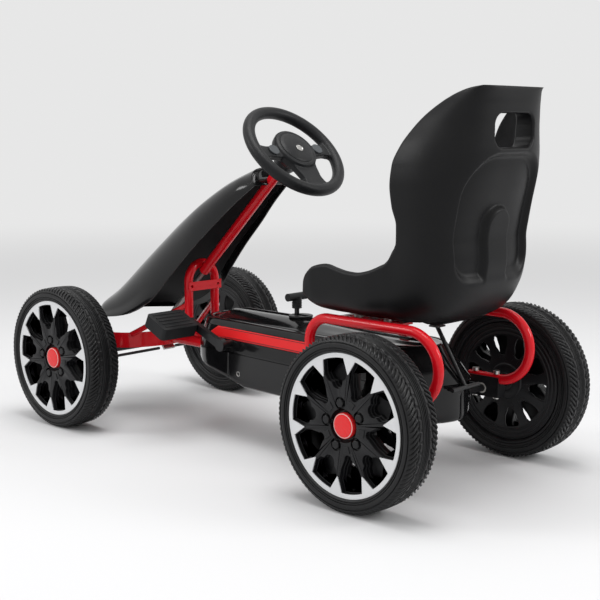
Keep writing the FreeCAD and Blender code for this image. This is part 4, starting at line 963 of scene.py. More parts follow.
# ------------------------------------------------------------------ seat
@dataclass
class Seat:
    """Moulded bucket seat: sections that run forward under the thighs and up behind the back."""

    paint: Paintbox
    knee_y: float = 405.0
    knee_z: float = 450.0
    bend_run: float = 120.0
    ring_points: int = 236
    lip: float = 6.5
    hole_half: tuple[float, float] = (56.0, 29.0)
    hole_z: float = 642.0
    hole_radius: float = 20.0
    recess_depth: float = 15.0
    underside: float = 312.0
    keys: list[tuple[float, ...]] = field(default_factory=lambda: [
        # run, depth behind, lip depth, half width, squareness, wall
        (-193.0, 112.0, 98.0, 152.0, 5.0, 3.0), (-189.0, 122.0, 82.0, 155.0, 5.0, 16.0),
        (-181.0, 131.0, 71.0, 157.5, 5.0, 22.0), (-162.0, 139.0, 58.0, 160.0, 4.8, 26.0),
        (-130.0, 142.0, 52.0, 160.0, 4.6, 28.0), (-105.0, 142.5, 57.0, 160.0, 4.5, 28.0),
        (-82.0, 143.0, 61.0, 160.0, 4.5, 28.0), (-61.0, 143.5, 62.0, 159.5, 4.5, 28.0),
        (-37.0, 144.0, 57.5, 158.5, 4.4, 28.0), (-20.0, 145.0, 51.0, 157.0, 4.3, 28.0),
        (0.0, 148.0, 42.0, 155.0, 4.2, 28.0), (22.0, 157.0, 34.5, 153.0, 3.8, 28.0),
        (45.0, 158.0, 28.5, 152.0, 3.4, 27.0), (70.0, 150.0, 26.0, 151.5, 3.1, 26.0),
        (97.0, 139.0, 26.3, 151.0, 3.0, 25.0), (124.0, 132.0, 28.2, 151.0, 3.0, 25.0),
        (152.0, 136.0, 29.0, 152.0, 3.0, 26.0), (184.0, 144.0, 20.0, 153.5, 3.0, 28.0),
        (220.0, 154.0, 15.0, 153.5, 3.0, 31.0), (254.0, 161.0, 17.0, 150.5, 3.0, 36.0),
        (286.0, 163.0, 29.0, 143.5, 3.0, 38.0), (318.0, 163.0, 49.0, 131.5, 3.1, 37.0),
        (338.0, 163.0, 67.0, 124.0, 3.2, 35.0), (355.0, 163.0, 87.0, 116.0, 3.3, 31.0),
        (367.0, 163.5, 104.0, 109.0, 3.4, 27.0), (378.0, 163.3, 125.0, 101.0, 3.5, 18.0),
        (383.5, 162.8, 142.0, 95.5, 3.5, 10.0), (386.0, 161.5, 155.0, 90.0, 3.5, 3.0)])

    def stations(self) -> np.ndarray:
        """Places along the seat where a section is made, closer at both rounded ends.

        Returns:
            Runs along the seat in millimetres.
        """
        front = -193.0 + np.array([0.0, 0.5, 1.2, 2.2, 3.6, 5.4])
        rear = 386.0 - np.array([5.4, 3.6, 2.2, 1.2, 0.5, 0.0])
        return np.concatenate([front, np.arange(-184.5, 379.5, 2.5), rear])

    def place(self, run: float, x: np.ndarray, depth: np.ndarray) -> np.ndarray:
        """Points of a section in the row's frame, in millimetres.

        Args:
            run: Place along the seat, 0 where it starts to bend up.
            x: Places across.
            depth: Distances behind or below the seat's inner line.

        Returns:
            The points.
        """
        if run <= 0:
            return np.stack([x, np.full_like(x, self.knee_y + run), self.knee_z - depth], axis=1)
        if run < self.bend_run:
            angle = math.pi / 2 * (1 - run / self.bend_run)
            back, down = depth * math.cos(angle), depth * math.sin(angle)
            return np.stack([x, self.knee_y + back, self.knee_z - down], axis=1)
        return np.stack([x, self.knee_y + depth, np.full_like(x, self.knee_z + run - self.bend_run)], axis=1)

    def recess(self, points: np.ndarray) -> np.ndarray:
        """How far the back's outside is pressed in, from 0 to 1: an arch with a tongue standing in it.

        Args:
            points: Points of the outside.

        Returns:
            One share for each point.
        """
        x, z = points[:, 0], points[:, 2]
        taper = 1.0 + 0.035 * ease(z, 480.0, 400.0)
        arch = round_box(x * taper, np.where(z > 494.0, z - 494.0, 0.0), 111.0, 112.0, 78.0)
        low = round_box(x * taper, np.where(z < 494.0, z - 494.0, 0.0), 111.0, 112.0, 40.0)
        outside = np.where(z > 494.0, arch, low)
        tongue = round_box(x, z - 422.0, 31.0, 86.0, 30.0)
        inside = ease(-outside, -1.5, 12.0)
        stand = ease(-tongue, -9.0, 3.0)
        return inside * (1.0 - 0.86 * stand)

    def section(self, run: float) -> np.ndarray:
        """Closed ring of one section: outside from left lip to right, then inside back again.

        Args:
            run: Place along the seat.

        Returns:
            The ring's points.
        """
        at = np.array([run])
        deep, lip, half, square, wall = (float(curve_through(self.keys, at, c)[0]) for c in range(1, 6))
        angle = np.linspace(-math.pi / 2, math.pi / 2, 600)

        def bowl(width: float, depth: float, power: float) -> np.ndarray:
            """Half of a rounded trough, from one lip to the other.

            Args:
                width: Half its width.
                depth: Its depth below the lips.
                power: How square it is.

            Returns:
                Its points as x and depth.
            """
            sine, cosine = np.sin(angle), np.cos(angle)
            across = width * np.sign(sine) * np.abs(sine) ** (2 / power)
            return np.stack([across, lip + depth * np.abs(cosine) ** (2 / power)], axis=1)

        edge = min(self.lip, wall / 2)
        outside = bowl(half, deep - lip, square)
        inside = bowl(half - 2 * edge, max(deep - wall - lip, 0.5), max(square - 0.3, 2.6))[::-1]
        turn = np.linspace(0, math.pi, 9)[1:-1]
        right = np.stack([half - edge + edge * np.cos(turn), lip - edge * np.sin(turn)], axis=1)
        left = np.stack([-half + edge - edge * np.cos(turn), lip - edge * np.sin(turn)], axis=1)[::-1]
        outside = evenly(outside, self.ring_points)
        placed = self.place(run, outside[:, 0], outside[:, 1])
        press = self.recess_depth * self.recess(placed) * (1.0 if run > 40.0 else 0.0)
        outside[:, 1] -= press
        ring = np.concatenate([outside, right, evenly(inside, self.ring_points), left])
        points = self.place(run, ring[:, 0], ring[:, 1])
        floor = self.underside - 20.0 * ease(np.abs(points[:, 0]), 64.0, 46.0)
        points[:, 2] = np.maximum(points[:, 2], floor)
        return points

    def hole_distance(self, x: np.ndarray, z: np.ndarray) -> np.ndarray:
        """Signed distance to the hand hole's outline."""
        return round_box(x, z - self.hole_z, self.hole_half[0], self.hole_half[1], self.hole_radius)

    def on_outline(self, x: float, z: float, out: float) -> tuple[float, float]:
        """Nearest point whose distance from the hand hole's outline is the given one.

        Args:
            x: Place across.
            z: Height.
            out: Distance outside the outline.

        Returns:
            The new place as x and z.
        """
        for _ in range(3):
            d = float(self.hole_distance(np.array(x), np.array(z)))
            gx = float(self.hole_distance(np.array(x + 0.01), np.array(z))) - d
            gz = float(self.hole_distance(np.array(x), np.array(z + 0.01))) - d
            size = math.hypot(gx, gz) or 1.0
            x -= (d - out) * gx / size
            z -= (d - out) * gz / size
        return x, z

    def cut_hand_hole(self, mesh: bpy.types.Mesh) -> None:
        """Open the hand hole through both skins and join them by a wall with rounded edges.

        Args:
            mesh: The seat's mesh, changed in place.
        """
        flare = 5.0
        shape = bmesh.new()
        shape.from_mesh(mesh)
        doomed = []
        for face in shape.faces:
            c = face.calc_center_median() / MM
            if c.y > 500.0 and float(self.hole_distance(np.array(c.x), np.array(c.z))) < flare:
                doomed.append(face)
        bmesh.ops.delete(shape, geom=doomed, context="FACES")
        rims = {"rear": [], "front": []}
        for edge in shape.edges:
            if edge.is_boundary:
                rims["rear" if edge.verts[0].co.y > 0.554 else "front"].append(edge)
        for edges in rims.values():
            for vertex in {v for e in edges for v in e.verts}:
                x, z = self.on_outline(vertex.co.x / MM, vertex.co.z / MM, flare)
                vertex.co.x, vertex.co.z = x * MM, z * MM

        def walled(edges: list[bmesh.types.BMEdge], way: float) -> list[bmesh.types.BMEdge]:
            """Grow a rounded edge inwards from one skin.

            Args:
                edges: The open edges of that skin.
                way: 1 to grow towards the back, -1 towards the front.

            Returns:
                The new open edges.
            """
            for step in range(1, 6):
                turn = math.pi / 2 * step / 5
                grown = bmesh.ops.extrude_edge_only(shape, edges=edges)["geom"]
                last = math.pi / 2 * (step - 1) / 5
                shift = way * flare * (math.cos(last) - math.cos(turn)) * MM
                for vertex in (g for g in grown if isinstance(g, bmesh.types.BMVert)):
                    x, z = self.on_outline(vertex.co.x / MM, vertex.co.z / MM, flare * (1 - math.sin(turn)))
                    vertex.co = Vector((x * MM, vertex.co.y + shift, z * MM))
                edges = [g for g in grown if isinstance(g, bmesh.types.BMEdge)]
            return edges

        rear, front = walled(rims["rear"], -1.0), walled(rims["front"], 1.0)
        bmesh.ops.bridge_loops(shape, edges=rear + front)
        bmesh.ops.recalc_face_normals(shape, faces=shape.faces)
        shape.to_mesh(mesh)
        shape.free()

    def build(self) -> None:
        """Make the seat and hide its plain solid."""
        rings = [self.section(float(run)) for run in self.stations()]
        count = len(rings[0])
        faces = faces_of_grid(len(rings), count, True)
        half = self.ring_points
        for row in (0, len(rings) - 1):
            start = row * count
            outside = [start + i for i in range(half)]
            inside = [start + half + 7 + i for i in range(half)][::-1]
            faces += [(outside[i], outside[i + 1], inside[i + 1], inside[i]) for i in range(half - 1)]
            right = [start + half - 1] + [start + half + i for i in range(7)] + [start + half + 7]
            left = [start + 2 * half + 6] + [start + 2 * half + 7 + i for i in range(7)] + [start]
            faces += [tuple(right), tuple(left)]
        mesh = mesh_from(np.array(rings), faces, "seat")
        self.cut_hand_hole(mesh)
        piece = link(mesh, "seat_moulding", 60.0)
        self.paint.add(piece, "seat", "seat_black")
        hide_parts("seat_shell")


# ------------------------------------------------------------------ nose
@dataclass
class Nose:
    """Arched cowl over the steering column, open towards the driver."""

    paint: Paintbox
    wall: float = 3.0
    keys: list[tuple[float, ...]] = field(default_factory=lambda: [
        # run, edge y, edge z, crown y, crown z, half width, squareness
        (0.0, -22.0, 530.0, -46.0, 565.0, 50.0, 2.3), (1.0, -74.0, 489.0, -112.0, 540.0, 61.0, 2.3),
        (2.0, -124.0, 444.0, -185.0, 503.0, 72.0, 2.2), (3.0, -184.0, 390.0, -255.0, 458.0, 81.0, 2.2),
        (4.0, -243.0, 330.0, -322.0, 408.0, 90.0, 2.2), (5.0, -305.0, 266.0, -400.0, 346.0, 103.0, 2.2),
        (6.0, -380.0, 232.0, -468.0, 286.0, 110.0, 2.3), (6.6, -440.0, 222.0, -507.0, 258.0, 107.0, 2.4),
        (7.0, -478.0, 218.5, -528.0, 242.0, 92.0, 2.4), (7.3, -505.0, 218.0, -540.0, 232.0, 68.0, 2.3),
        (7.5, -524.0, 218.0, -546.0, 226.0, 40.0, 2.2)])

    def arch(self, run: float, shrink: float, steps: int = 90) -> np.ndarray:
        """Points of one arch from the left edge over the crown to the right edge.

        Args:
            run: Place along the cowl, 0 at its top.
            shrink: How far it is drawn in.
            steps: Number of points.

        Returns:
            The points.
        """
        at = np.array([run])
        ey, ez, cy, cz, half, power = (float(curve_through(self.keys, at, c)[0]) for c in range(1, 7))
        rise = np.array([cy - ey, cz - ez])
        tall = np.linalg.norm(rise)
        up = rise / tall
        angle = np.linspace(0, math.pi, steps)
        side = np.cos(angle)
        lift = np.abs(np.sin(angle)) ** (2 / power)
        across = (half - shrink) * np.sign(side) * np.abs(side) ** (2 / power)
        height = (tall - shrink) * lift
        if shrink == 0.0:
            share = height / tall
            crest = ease(run, 0.2, 0.7) * ease(run, 3.4, 2.4)
            across = across + np.sign(across) * 2.6 * crest * ease(share, 0.86, 0.80) * ease(share, 0.0, 0.5)
            flare = ease(run, 4.4, 5.6) * ease(share, 0.3, 0.0)
            across = across + np.sign(across) * 7.0 * flare
        return np.stack([across, ey + up[0] * height, ez + up[1] * height], axis=1)

    def build(self) -> None:
        """Make the cowl and its top lid, and hide its plain solid."""
        runs = np.concatenate([np.linspace(0, 6.6, 100), np.linspace(6.6, 7.5, 20)[1:]])
        rings = [np.concatenate([self.arch(r, 0.0), self.arch(r, self.wall)[::-1]]) for r in runs]
        count = len(rings[0])
        faces = faces_of_grid(len(rings), count, True)
        half = count // 2
        for row in (0, len(rings) - 1):
            first = row * count
            last = first + count - 1
            faces += [(first + i, first + i + 1, last - 1 - i, last - i) for i in range(half - 1)]
        piece = link(mesh_from(np.array(rings), faces, "cowl"), "nose_cowl", 50.0)
        self.paint.add(piece, "frame", "shell_gloss")
        self.paint.add_inside(piece)
        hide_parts("nose_shell")
        self.build_top()

    def build_top(self) -> None:
        """Close the upper end round the column."""
        outer = self.arch(0.0, 0.5, 60)
        middle = outer.mean(axis=0)
        lid = [outer]
        for share, forward in ((0.96, 1.5), (0.7, 3.0), (0.42, 3.5)):
            ring = middle + (outer - middle) * share
            ring[:, 1] += forward
            ring[:, 2] += forward
            lid.append(ring)
        faces = faces_of_grid(len(lid), len(outer), True)
        piece = link(mesh_from(np.array(lid), faces, "lid"), "nose_lid", 50.0)
        thick = piece.modifiers.new("thick", "SOLIDIFY")
        thick.thickness = 2.0 * MM
        bake(piece)
        self.paint.add(piece, "frame", "shell_gloss")


# ------------------------------------------------------------------ chain fairing
@dataclass
class Fairing:
    """Closed case round the chain: lower sides, striped shoulders, and a crowned top."""

    paint: Paintbox
    front_y: float = -120.0
    front_half: float = 85.0
    wide_y: float = 150.0
    wide_half: float = 100.0
    tail_y: float = 370.0
    end_y: float = 465.0
    seam_y: float = -62.0
    levels: list[tuple[float, float]] = field(default_factory=lambda: [
        (60.0, 116.2), (16.0, 116.2), (9.0, 117.2), (3.5, 121.0), (1.0, 127.0), (0.0, 134.0), (0.0, 160.0),
        (0.0, 186.2), (1.8, 187.0), (1.8, 188.6), (-0.6, 189.4), (-0.6, 190.6), (1.2, 198.0), (4.8, 211.0),
        (5.4, 212.5), (6.4, 213.2), (13.5, 236.6), (14.6, 237.4), (15.6, 240.0), (19.0, 247.2),
        (22.5, 249.6), (27.0, 250.6), (31.0, 250.4), (35.0, 249.8), (39.0, 250.2), (44.0, 252.2),
        (50.0, 255.0), (58.0, 258.4), (68.0, 261.6), (80.0, 264.0), (90.0, 265.0)])

    def outline(self, inset: float, plan: np.ndarray) -> np.ndarray:
        """Left half of the plan outline at one inset.

        Args:
            inset: How far it is drawn in.
            plan: Places from 0 at the front tip to 1 at the tail's tip.

        Returns:
            Points as x and y.
        """
        scale = np.clip(1.0 - inset / self.wide_half, 0.0, 1.1)
        turn = np.linspace(0, math.pi / 2, 60)
        front = np.stack([self.front_half * scale * np.sin(turn), self.front_y - self.front_half * (
            1 - 0.85 * inset / self.front_half) * np.cos(turn)], axis=1)
        side = np.array([(self.wide_half * scale, self.wide_y), (self.wide_half * scale, self.tail_y - 20.0)])
        reach = self.end_y - self.tail_y + 20.0 - 0.85 * inset
        back = np.stack([self.wide_half * scale * np.cos(turn),
                         self.tail_y - 20.0 + reach * np.sin(turn)], axis=1)
        return self.by_share(np.concatenate([front, side, back]), plan)

    @staticmethod
    def by_share(points: np.ndarray, plan: np.ndarray) -> np.ndarray:
        """Read a polyline at shares of its length."""
        run = np.concatenate([[0.0], np.cumsum(np.linalg.norm(np.diff(points, axis=0), axis=1))])
        return np.stack([np.interp(plan * run[-1], run, points[:, i]) for i in range(2)], axis=1)

    def shaped(self, points: np.ndarray) -> np.ndarray:
        """Slant the tail, lift the front's underside and open a groove at the front cap's seam.

        Args:
            points: Points of one level.

        Returns:
            The moved points.
        """
        x, y, z = points[:, 0].copy(), points[:, 1].copy(), points[:, 2].copy()
        start = 300.0
        limit = 403.0 + (255.0 - float(z.mean())) * 0.95
        squeeze = min(1.0, (limit - start) / max(float(y.max()) - start, 1.0))
        y = np.where(y > start, start + (y - start) * squeeze, y)
        low = 117.0 + 0.25 * np.maximum(0.0, -20.0 - y) + 22.0 * ease(y, -150.0, -205.0)
        share = np.clip((z - 116.0) / 74.0, 0, 1)
        z = np.where(z < 190.0, z + (low - 116.0) * (1 - share) ** 1.4, z)
        seam = ease(np.abs(y - self.seam_y), 1.5, 0.6) * (z < 186.0)
        x = x - np.sign(x) * 1.1 * seam
        fall = 10.0 * ease(y, 20.0, 330.0) + 16.0 * ease(y, -110.0, -200.0)
        z = z - fall * ease(z, 251.0, 262.0)
        return np.stack([x, y, z], axis=1)

    def skin(self, levels: list[tuple[float, float]], name: str) -> bpy.types.Mesh:
        """Left skin through the given levels, from the front tip to the tail's tip.

        Args:
            levels: Inset and height of each level.
            name: Name of the mesh.

        Returns:
            The open skin.
        """
        plan = np.sort(np.concatenate([np.linspace(0, 1, 150), self.seam_shares()]))
        rows = []
        for inset, z in levels:
            flat = self.outline(inset, plan)
            rows.append(self.shaped(np.column_stack([flat, np.full(len(flat), z)])))
        return mesh_from(np.array(rows), faces_of_grid(len(rows), len(plan), False), name)

    def seam_shares(self) -> np.ndarray:
        """Extra places close to the front cap's seam.

        Returns:
            Shares of the outline's length.
        """
        fine = np.linspace(0, 1, 3000)
        y = self.outline(0.0, fine)[:, 1]
        middle = fine[int(np.argmin(np.abs(y - self.seam_y)))]
        return middle + np.array([-0.0026, -0.0016, -0.0009, 0.0, 0.0009, 0.0016, 0.0026])

    def thickened(self, mesh: bpy.types.Mesh, name: str, thick: float, angle: float) -> bpy.types.Object:
        """Piece with a wall behind its skin.

        Args:
            mesh: The open skin.
            name: Name of the piece.
            thick: Wall in millimetres.
            angle: Sharpest angle that is still smoothed.

        Returns:
            The new piece.
        """
        piece = link(mesh, name, angle)
        wall = piece.modifiers.new("wall", "SOLIDIFY")
        wall.thickness = thick * MM
        wall.offset = -1.0
        return bake(piece)

    def stripe(self, name: str, inset: tuple[float, float], z: tuple[float, float], y: tuple[float, float],
               proud: float) -> bpy.types.Mesh:
        """Strip on the left shoulder between two levels, cut slanting at its front end.

        Args:
            name: Name of the mesh.
            inset: Inset at its lower and upper edge.
            z: Height at its lower and upper edge.
            y: Where it starts and ends.
            proud: How far it stands off the shoulder.

        Returns:
            The open strip.
        """
        fine = np.linspace(0, 1, 2400)
        rows = []
        for share in np.linspace(0, 1, 7):
            level_inset = inset[0] + (inset[1] - inset[0]) * share
            level_z = z[0] + (z[1] - z[0]) * share
            flat = self.outline(level_inset - proud, fine)
            start = y[0] + 34.0 * share
            keep = flat[(flat[:, 1] > start) & (flat[:, 1] < y[1]) & (flat[:, 0] > 40.0)]
            flat = evenly(keep, 120)
            rows.append(self.shaped(np.column_stack([flat, np.full(len(flat), level_z + proud * 0.4)])))
        return mesh_from(np.array(rows), faces_of_grid(7, 120, False), name)

    def mirror(self, mesh: bpy.types.Mesh) -> bpy.types.Mesh:
        """The same skin on the right side.

        Args:
            mesh: The left skin.

        Returns:
            The right skin.
        """
        copy = mesh.copy()
        copy.transform(Matrix.Scale(-1, 4, (1, 0, 0)))
        copy.flip_normals()
        return copy

    def build(self) -> None:
        """Make both halves, the top and the stripes, and hide their plain solids."""
        split = next(i for i, (inset, z) in enumerate(self.levels) if inset > 34.0 and z > 240.0)
        lower = self.skin(self.levels[:split + 1], "case_side")
        upper = self.skin(self.levels[split:], "case_top")
        for side, mesh in (("left", lower), ("right", self.mirror(lower))):
            piece = self.thickened(mesh, f"fairing_{side}_shape", 2.2, 32.0)
            self.paint.add(piece, "frame", "shell_gloss")
            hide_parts(f"fairing_{side}")
        whole = joined([upper, self.mirror(upper)], "case_crown")
        self.close_crown(whole)
        top = self.thickened(whole, "fairing_top_shape", 2.2, 32.0)
        self.paint.add(top, "frame", "shell_gloss")
        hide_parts("fairing_top")
        self.build_stripes()
        self.build_screws()

    def close_crown(self, mesh: bpy.types.Mesh) -> None:
        """Join the crown's halves and fill the strip left between them.

        Args:
            mesh: The crown, changed in place.
        """
        shape = bmesh.new()
        shape.from_mesh(mesh)
        bmesh.ops.remove_doubles(shape, verts=shape.verts, dist=2e-5)
        loops = [e for e in shape.edges if e.is_boundary and all(v.co.z > 0.2525 for v in e.verts)
                 and all(abs(v.co.x) < 0.0165 for v in e.verts)]
        left = [e for e in loops if e.verts[0].co.x + e.verts[1].co.x > 0]
        right = [e for e in loops if e.verts[0].co.x + e.verts[1].co.x <= 0]
        if left and right:
            bmesh.ops.bridge_loops(shape, edges=left + right)
        bmesh.ops.recalc_face_normals(shape, faces=shape.faces)
        shape.to_mesh(mesh)
        shape.free()

    def build_stripes(self) -> None:
        """Red strips with a thin dark line near each long edge."""
        band = self.stripe("band", (6.4, 13.3), (213.6, 236.0), (-140.0, 206.0), 0.7)
        lines = [self.stripe("line", (6.4 + 6.9 * a, 6.4 + 6.9 * b), (213.6 + 22.4 * a, 213.6 + 22.4 * b),
                             (-100.0, 200.0), 0.95) for a, b in ((0.1, 0.15), (0.85, 0.9))]
        both = joined([band, self.mirror(band)], "bands")
        piece = self.thickened(both, "fairing_stripe_shape", 0.6, 32.0)
        self.paint.add(piece, "frame", "stripe_red")
        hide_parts("fairing_stripes")
        pins = joined(lines + [self.mirror(m) for m in lines], "pins")
        self.paint.add(self.thickened(pins, "fairing_pin_lines", 0.3, 32.0), "frame", "satin_black")

    def build_screws(self) -> None:
        """Countersunk screw seats along the lower sides."""
        parts = []
        for y in (-30.0, 120.0, 270.0):
            x = float(np.interp(y, (self.front_y, self.wide_y), (self.front_half, self.wide_half)))
            ring = lathe([(-1.0, 5.2), (0.25, 5.0), (0.3, 4.2), (-0.9, 3.6), (-1.2, 0.0), (-1.6, 0.0)],
                         "seat", 28)
            ring.transform(Matrix.Translation((x * MM, y * MM, 0.146)))
            parts += [ring, self.mirror(ring)]
        self.paint.add(link(joined(parts, "screws"), "fairing_screws", 40.0), "frame", "zinc_steel")


# ------------------------------------------------------------------ steering wheel
@dataclass
class SteeringWheel:
    """Moulded three-spoke wheel, drawn about the Z axis and set on the column."""

    paint: Paintbox
    centre: tuple[float, float, float] = (0.0, 43.7, 600.6)
    elevation: float = 43.8
    rim_radius: float = 105.0
    grip: float = 12.4
    voxel: float = 1.5

    def placed(self) -> Matrix:
        """Turn and move from the wheel's own axes to the column."""
        turn = Matrix.Rotation(math.radians(self.elevation - 90.0), 4, "X")
        return Matrix.Translation(Vector(self.centre) * MM) @ turn

    def rim(self) -> bpy.types.Mesh:
        """Round grip.

        Returns:
            The mesh.
        """
        turn = np.linspace(0, 2 * math.pi, 240, endpoint=False)
        radius = self.rim_radius
        path = np.stack([radius * np.cos(turn), radius * np.sin(turn), np.zeros(240)], axis=1)
        return tube(path, self.grip, "grip", 32, True)

    @staticmethod
    def slab(points: list[tuple[float, float]], low: float, high: float, name: str) -> bpy.types.Mesh:
        """Straight sided block from a closed outline.

        Args:
            points: Closed outline.
            low: Height of its underside.
            high: Height of its top.
            name: Name of the mesh.

        Returns:
            The closed mesh.
        """
        outline = np.array(points, float)
        rows = [np.column_stack([outline, np.full(len(outline), z)]) for z in (low, high)]
        count = len(outline)
        faces = faces_of_grid(2, count, True) + [tuple(range(count)), tuple(range(count, 2 * count))]
        return mesh_from(np.array(rows), faces, name)

    @staticmethod
    def drum(radii: list[tuple[float, float]], name: str) -> bpy.types.Mesh:
        """Turned piece about Z from (z, radius) pairs, with a closed end at radius 0.

        Args:
            radii: Closed outline as height and radius.
            name: Name of the mesh.

        Returns:
            The mesh.
        """
        mesh = lathe(radii, name, 96)
        mesh.transform(Matrix.Rotation(math.radians(-90), 4, "Y"))
        return mesh

    def moulding(self) -> bpy.types.Object:
        """Rim, hub and spokes grown together with soft corners.

        Returns:
            The piece, in place on the column.
        """
        reach = self.rim_radius - 3.0
        arm = [(26.0, -17.0), (48.0, -12.0), (76.0, -11.5), (reach, -19.0), (reach, 21.0), (76.0, 15.0),
               (48.0, 18.0), (26.0, 26.0)]
        low = [(-38.0, 16.0), (-29.0, 50.0), (-24.0, 72.0), (-31.0, reach), (31.0, reach), (24.0, 72.0),
               (29.0, 50.0), (38.0, 16.0)]
        other_arm = [(-x, y) for x, y in arm]
        parts = [self.rim(), self.slab(arm, -10.0, 4.0, "arm"), self.slab(other_arm, -10.0, 4.0, "arm"),
                 self.slab(low, -10.0, 3.0, "low"),
                 self.drum([(-52.0, 18.5), (-26.0, 29.0), (-16.0, 41.0), (-9.0, 47.5), (4.0, 49.0),
                            (9.0, 46.5), (11.0, 41.0), (9.5, 39.0), (9.0, 0.0), (-52.0, 0.0)], "hub")]
        piece = link(joined(parts, "wheel"), "steering_wheel_moulding", 60.0)
        blend = piece.modifiers.new("blend", "REMESH")
        blend.mode = "VOXEL"
        blend.voxel_size = self.voxel * MM
        relax = piece.modifiers.new("relax", "SMOOTH")
        relax.factor = 0.5
        relax.iterations = 9
        bake(piece)
        piece.data.polygons.foreach_set("use_smooth", [True] * len(piece.data.polygons))
        piece.matrix_world = self.placed()
        return piece

    def build(self) -> None:
        """Make the wheel, its hub disc, badge and pads."""
        piece = self.moulding()
        self.paint.add(piece, "steering", "satin_black")
        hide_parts("steering_wheel")
        disc = self.drum([(8.0, 38.5), (10.4, 38.5), (11.8, 37.0), (13.6, 30.0), (15.0, 16.0), (15.2, 0.0),
                          (8.0, 0.0)], "cover")
        cover = link(disc, "hub_cover_shape", 40.0)
        cover.matrix_world = self.placed()
        self.paint.add(cover, "steering", "satin_black")
        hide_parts("hub_cover")
        dot = self.drum([(12.0, 8.0), (15.6, 7.8), (15.9, 6.8), (15.4, 6.2), (15.6, 0.0), (12.0, 0.0)],
                        "badge")
        badge = link(dot, "hub_badge", 40.0)
        badge.matrix_world = self.placed() @ Matrix.Translation((0, 0.006, 0))
        self.paint.add(badge, "steering", "zinc_steel")
        for sign, name in ((1, "left"), (-1, "right")):
            pad = plate([Wheels.circle(12.2, 48)], 4.6, 1.5, "pad")
            pad.transform(Matrix.Rotation(math.radians(-90), 4, "Y"))
            pad.transform(Matrix.Translation((sign * 0.062, 0.001, 0.0052)))
            button = link(pad, f"button_{name}_shape", 40.0)
            button.matrix_world = self.placed()
            self.paint.add(button, f"wheel_button_{name}", "button_grey")
            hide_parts(f"button_{name}")


# ------------------------------------------------------------------ everything else
@dataclass
class Chassis:
    """The CAD nodes that keep their shape: rounded edges and a finish for each."""

    paint: Paintbox
    nodes: dict[str, bpy.types.Object]
    record: dict
    widths: dict[str, float] = field(default_factory=lambda: {
        "pedal_left": 1.6, "pedal_right": 1.6, "crank": 1.6, "lever_grip": 2.2, "lever_base": 1.2,
        "hoop_plate": 0.7, "rear_axle_brackets": 1.6, "frame_bolts": 0.9, "kingpin_bolts": 0.8,
        "front_yoke": 0.8, "side_bars": 0.5})
    rib_ring: float = 9.4
    rib_base: float = 283.5
    rib_pitch: float = 3.4
    pedal_tilt: float = -25.0

    def build(self) -> None:
        """Dress each CAD node that is still shown."""
        slots = {entry["node"]: entry["material_slot"] for entry in self.record["subparts"]}
        for name, node in self.nodes.items():
            self.paint.coat(node, slots[name])
            soften(node, self.widths.get(name, 0.6))
        LOG.info("dressed %d CAD nodes", len(self.nodes))

    def build_lever(self) -> None:
        """Five raised ribs round the hand lever's grip."""
        low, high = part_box("lever_grip")
        middle = ((low[0] + high[0]) / 2 / MM, (low[1] + high[1]) / 2 / MM)
        rings = []
        turn = np.linspace(0, 2 * math.pi, 32, endpoint=False)
        across = middle[0] + self.rib_ring * np.cos(turn)
        along = middle[1] + self.rib_ring * np.sin(turn)
        for index in range(5):
            height = np.full(32, self.rib_base + self.rib_pitch * index)
            rings.append(tube(np.stack([across, along, height], axis=1), 1.1, "rib", 10, True))
        self.paint.add(link(joined(rings, "ribs"), "lever_ribs", 60.0), "brake_lever", "satin_black")

    def build_pedal_grips(self) -> None:
        """Raised bars across the top of each pedal."""
        for side in SIDES:
            low, high = (Vector(c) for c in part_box(f"pedal_{side}"))
            middle = (low + high) / 2
            tilt = Matrix.Rotation(math.radians(self.pedal_tilt), 4, "X")
            half = (high.x - low.x) / 2 / MM - 10.0
            bars = []
            for offset in (-22.0, -11.0, 0.0, 11.0, 22.0):
                path = np.array([(-half, offset, 13.2), (0.0, offset, 13.4), (half, offset, 13.2)])
                bars.append(tube(path, 1.7, "bar", 12))
            whole = joined(bars, "bars")
            whole.transform(Matrix.Translation(middle) @ tilt)
            self.paint.add(link(whole, f"pedal_{side}_bars", 60.0), f"pedal_{side}", "satin_black")


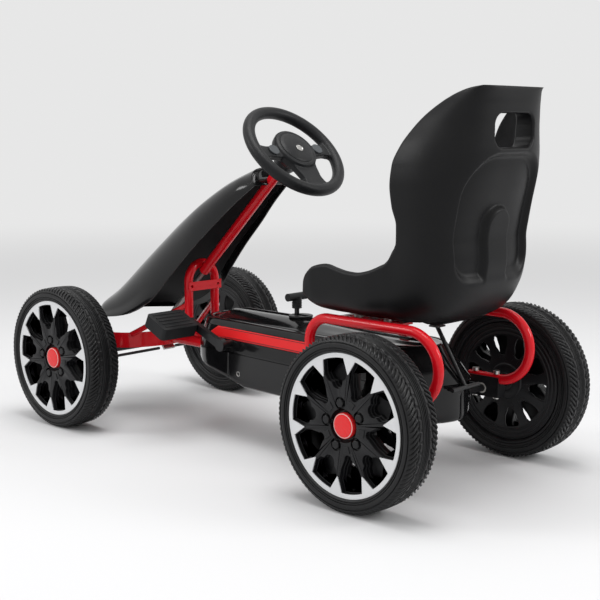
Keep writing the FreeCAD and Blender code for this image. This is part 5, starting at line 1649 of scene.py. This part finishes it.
@dataclass
class Studio:
    """Camera, pale floor and soft light."""

    floor_half: float = 30.0
    fade: tuple[float, float] = (1.5, 6.0)
    paper: tuple[float, float, float] = (0.66, 0.66, 0.665)
    surround: float = 0.8
    lens: float = 69.17
    sensor: float = 36.0
    eye: tuple[float, float, float] = (1.6768, 1.6678, 0.6466)
    look: tuple[float, float, float] = (-0.7138, -0.6846, -0.1478)
    lamps: list[tuple] = field(default_factory=lambda: [
        # name, place, aim, size, power
        ("overhead", (0.2, 0.3, 2.8), (0, 0, 0), 1.6, 46.0),
        ("left", (2.4, -1.6, 1.9), (0, 0, 0.3), 1.0, 26.0),
        ("rear", (-1.2, 2.6, 1.7), (0, 0.2, 0.4), 1.0, 26.0)])

    def build(self) -> None:
        """Set up the whole stage."""
        self.floor()
        self.lights()
        self.camera()

    def paper_material(self) -> bpy.types.Material:
        """Pale floor finish that fades to the brightness of the surroundings.

        Returns:
            The material.
        """
        material = bpy.data.materials.new("paper")
        material.use_nodes = True
        tree = material.node_tree
        shader = tree.nodes["Principled BSDF"]
        place = tree.nodes.new("ShaderNodeTexCoord")
        reach = tree.nodes.new("ShaderNodeVectorMath")
        reach.operation = "LENGTH"
        tree.links.new(place.outputs["Object"], reach.inputs[0])
        fade = tree.nodes.new("ShaderNodeMapRange")
        fade.interpolation_type = "SMOOTHSTEP"
        fade.inputs["From Min"].default_value = self.fade[0]
        fade.inputs["From Max"].default_value = self.fade[1]
        tree.links.new(reach.outputs["Value"], fade.inputs["Value"])
        black, far = (0.0, 0.0, 0.0), (self.surround,) * 3
        near = Finish.mixed(tree, fade.outputs["Result"], self.paper, black)
        glow = Finish.mixed(tree, fade.outputs["Result"], black, far)
        tree.links.new(near, shader.inputs["Base Color"])
        tree.links.new(glow, shader.inputs["Emission Color"])
        shader.inputs["Emission Strength"].default_value = 1.0
        shader.inputs["Specular IOR Level"].default_value = 0.0
        shader.inputs["Roughness"].default_value = 0.8
        return material

    def floor(self) -> None:
        """Large pale floor."""
        mesh = bpy.data.meshes.new("floor")
        size = self.floor_half
        mesh.from_pydata([(-size, -size, 0), (size, -size, 0), (size, size, 0), (-size, size, 0)], [],
                         [(0, 1, 2, 3)])
        piece = bpy.data.objects.new("floor", mesh)
        bpy.context.scene.collection.objects.link(piece)
        mesh.materials.append(self.paper_material())

    def lights(self) -> None:
        """Even white surroundings with three large soft lamps."""
        world = bpy.data.worlds.new("studio")
        bpy.context.scene.world = world
        world.use_nodes = True
        back = world.node_tree.nodes["Background"]
        back.inputs["Color"].default_value = (1.0, 1.0, 1.0, 1.0)
        back.inputs["Strength"].default_value = self.surround
        for name, place, aim, size, power in self.lamps:
            lamp = bpy.data.lights.new(name, "AREA")
            lamp.size = size
            lamp.energy = power
            holder = bpy.data.objects.new(name, lamp)
            bpy.context.scene.collection.objects.link(holder)
            holder.location = place
            holder.rotation_euler = (Vector(aim) - Vector(place)).to_track_quat("-Z", "Y").to_euler()

    def camera(self) -> None:
        """Camera behind the kart's left rear wheel."""
        data = bpy.data.cameras.new("camera")
        data.lens = self.lens
        data.sensor_width = self.sensor
        holder = bpy.data.objects.new("camera", data)
        bpy.context.scene.collection.objects.link(holder)
        holder.location = self.eye
        holder.rotation_euler = Vector(self.look).to_track_quat("-Z", "Y").to_euler()
        bpy.context.scene.camera = holder
        bpy.context.scene.view_settings.view_transform = "Standard"


def main() -> None:
    """Build the kart's pieces in order."""
    logging.basicConfig(level=logging.INFO, format="%(message)s")
    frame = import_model()
    paint = Paintbox()
    chassis = Chassis(paint, frame["nodes"], frame["record"])
    chassis.build()
    Wheels(paint).build()
    Seat(paint).build()
    Nose(paint).build()
    Fairing(paint).build()
    SteeringWheel(paint).build()
    chassis.build_lever()
    chassis.build_pedal_grips()
    Studio().build()


if __name__ == "__main__":
    main()
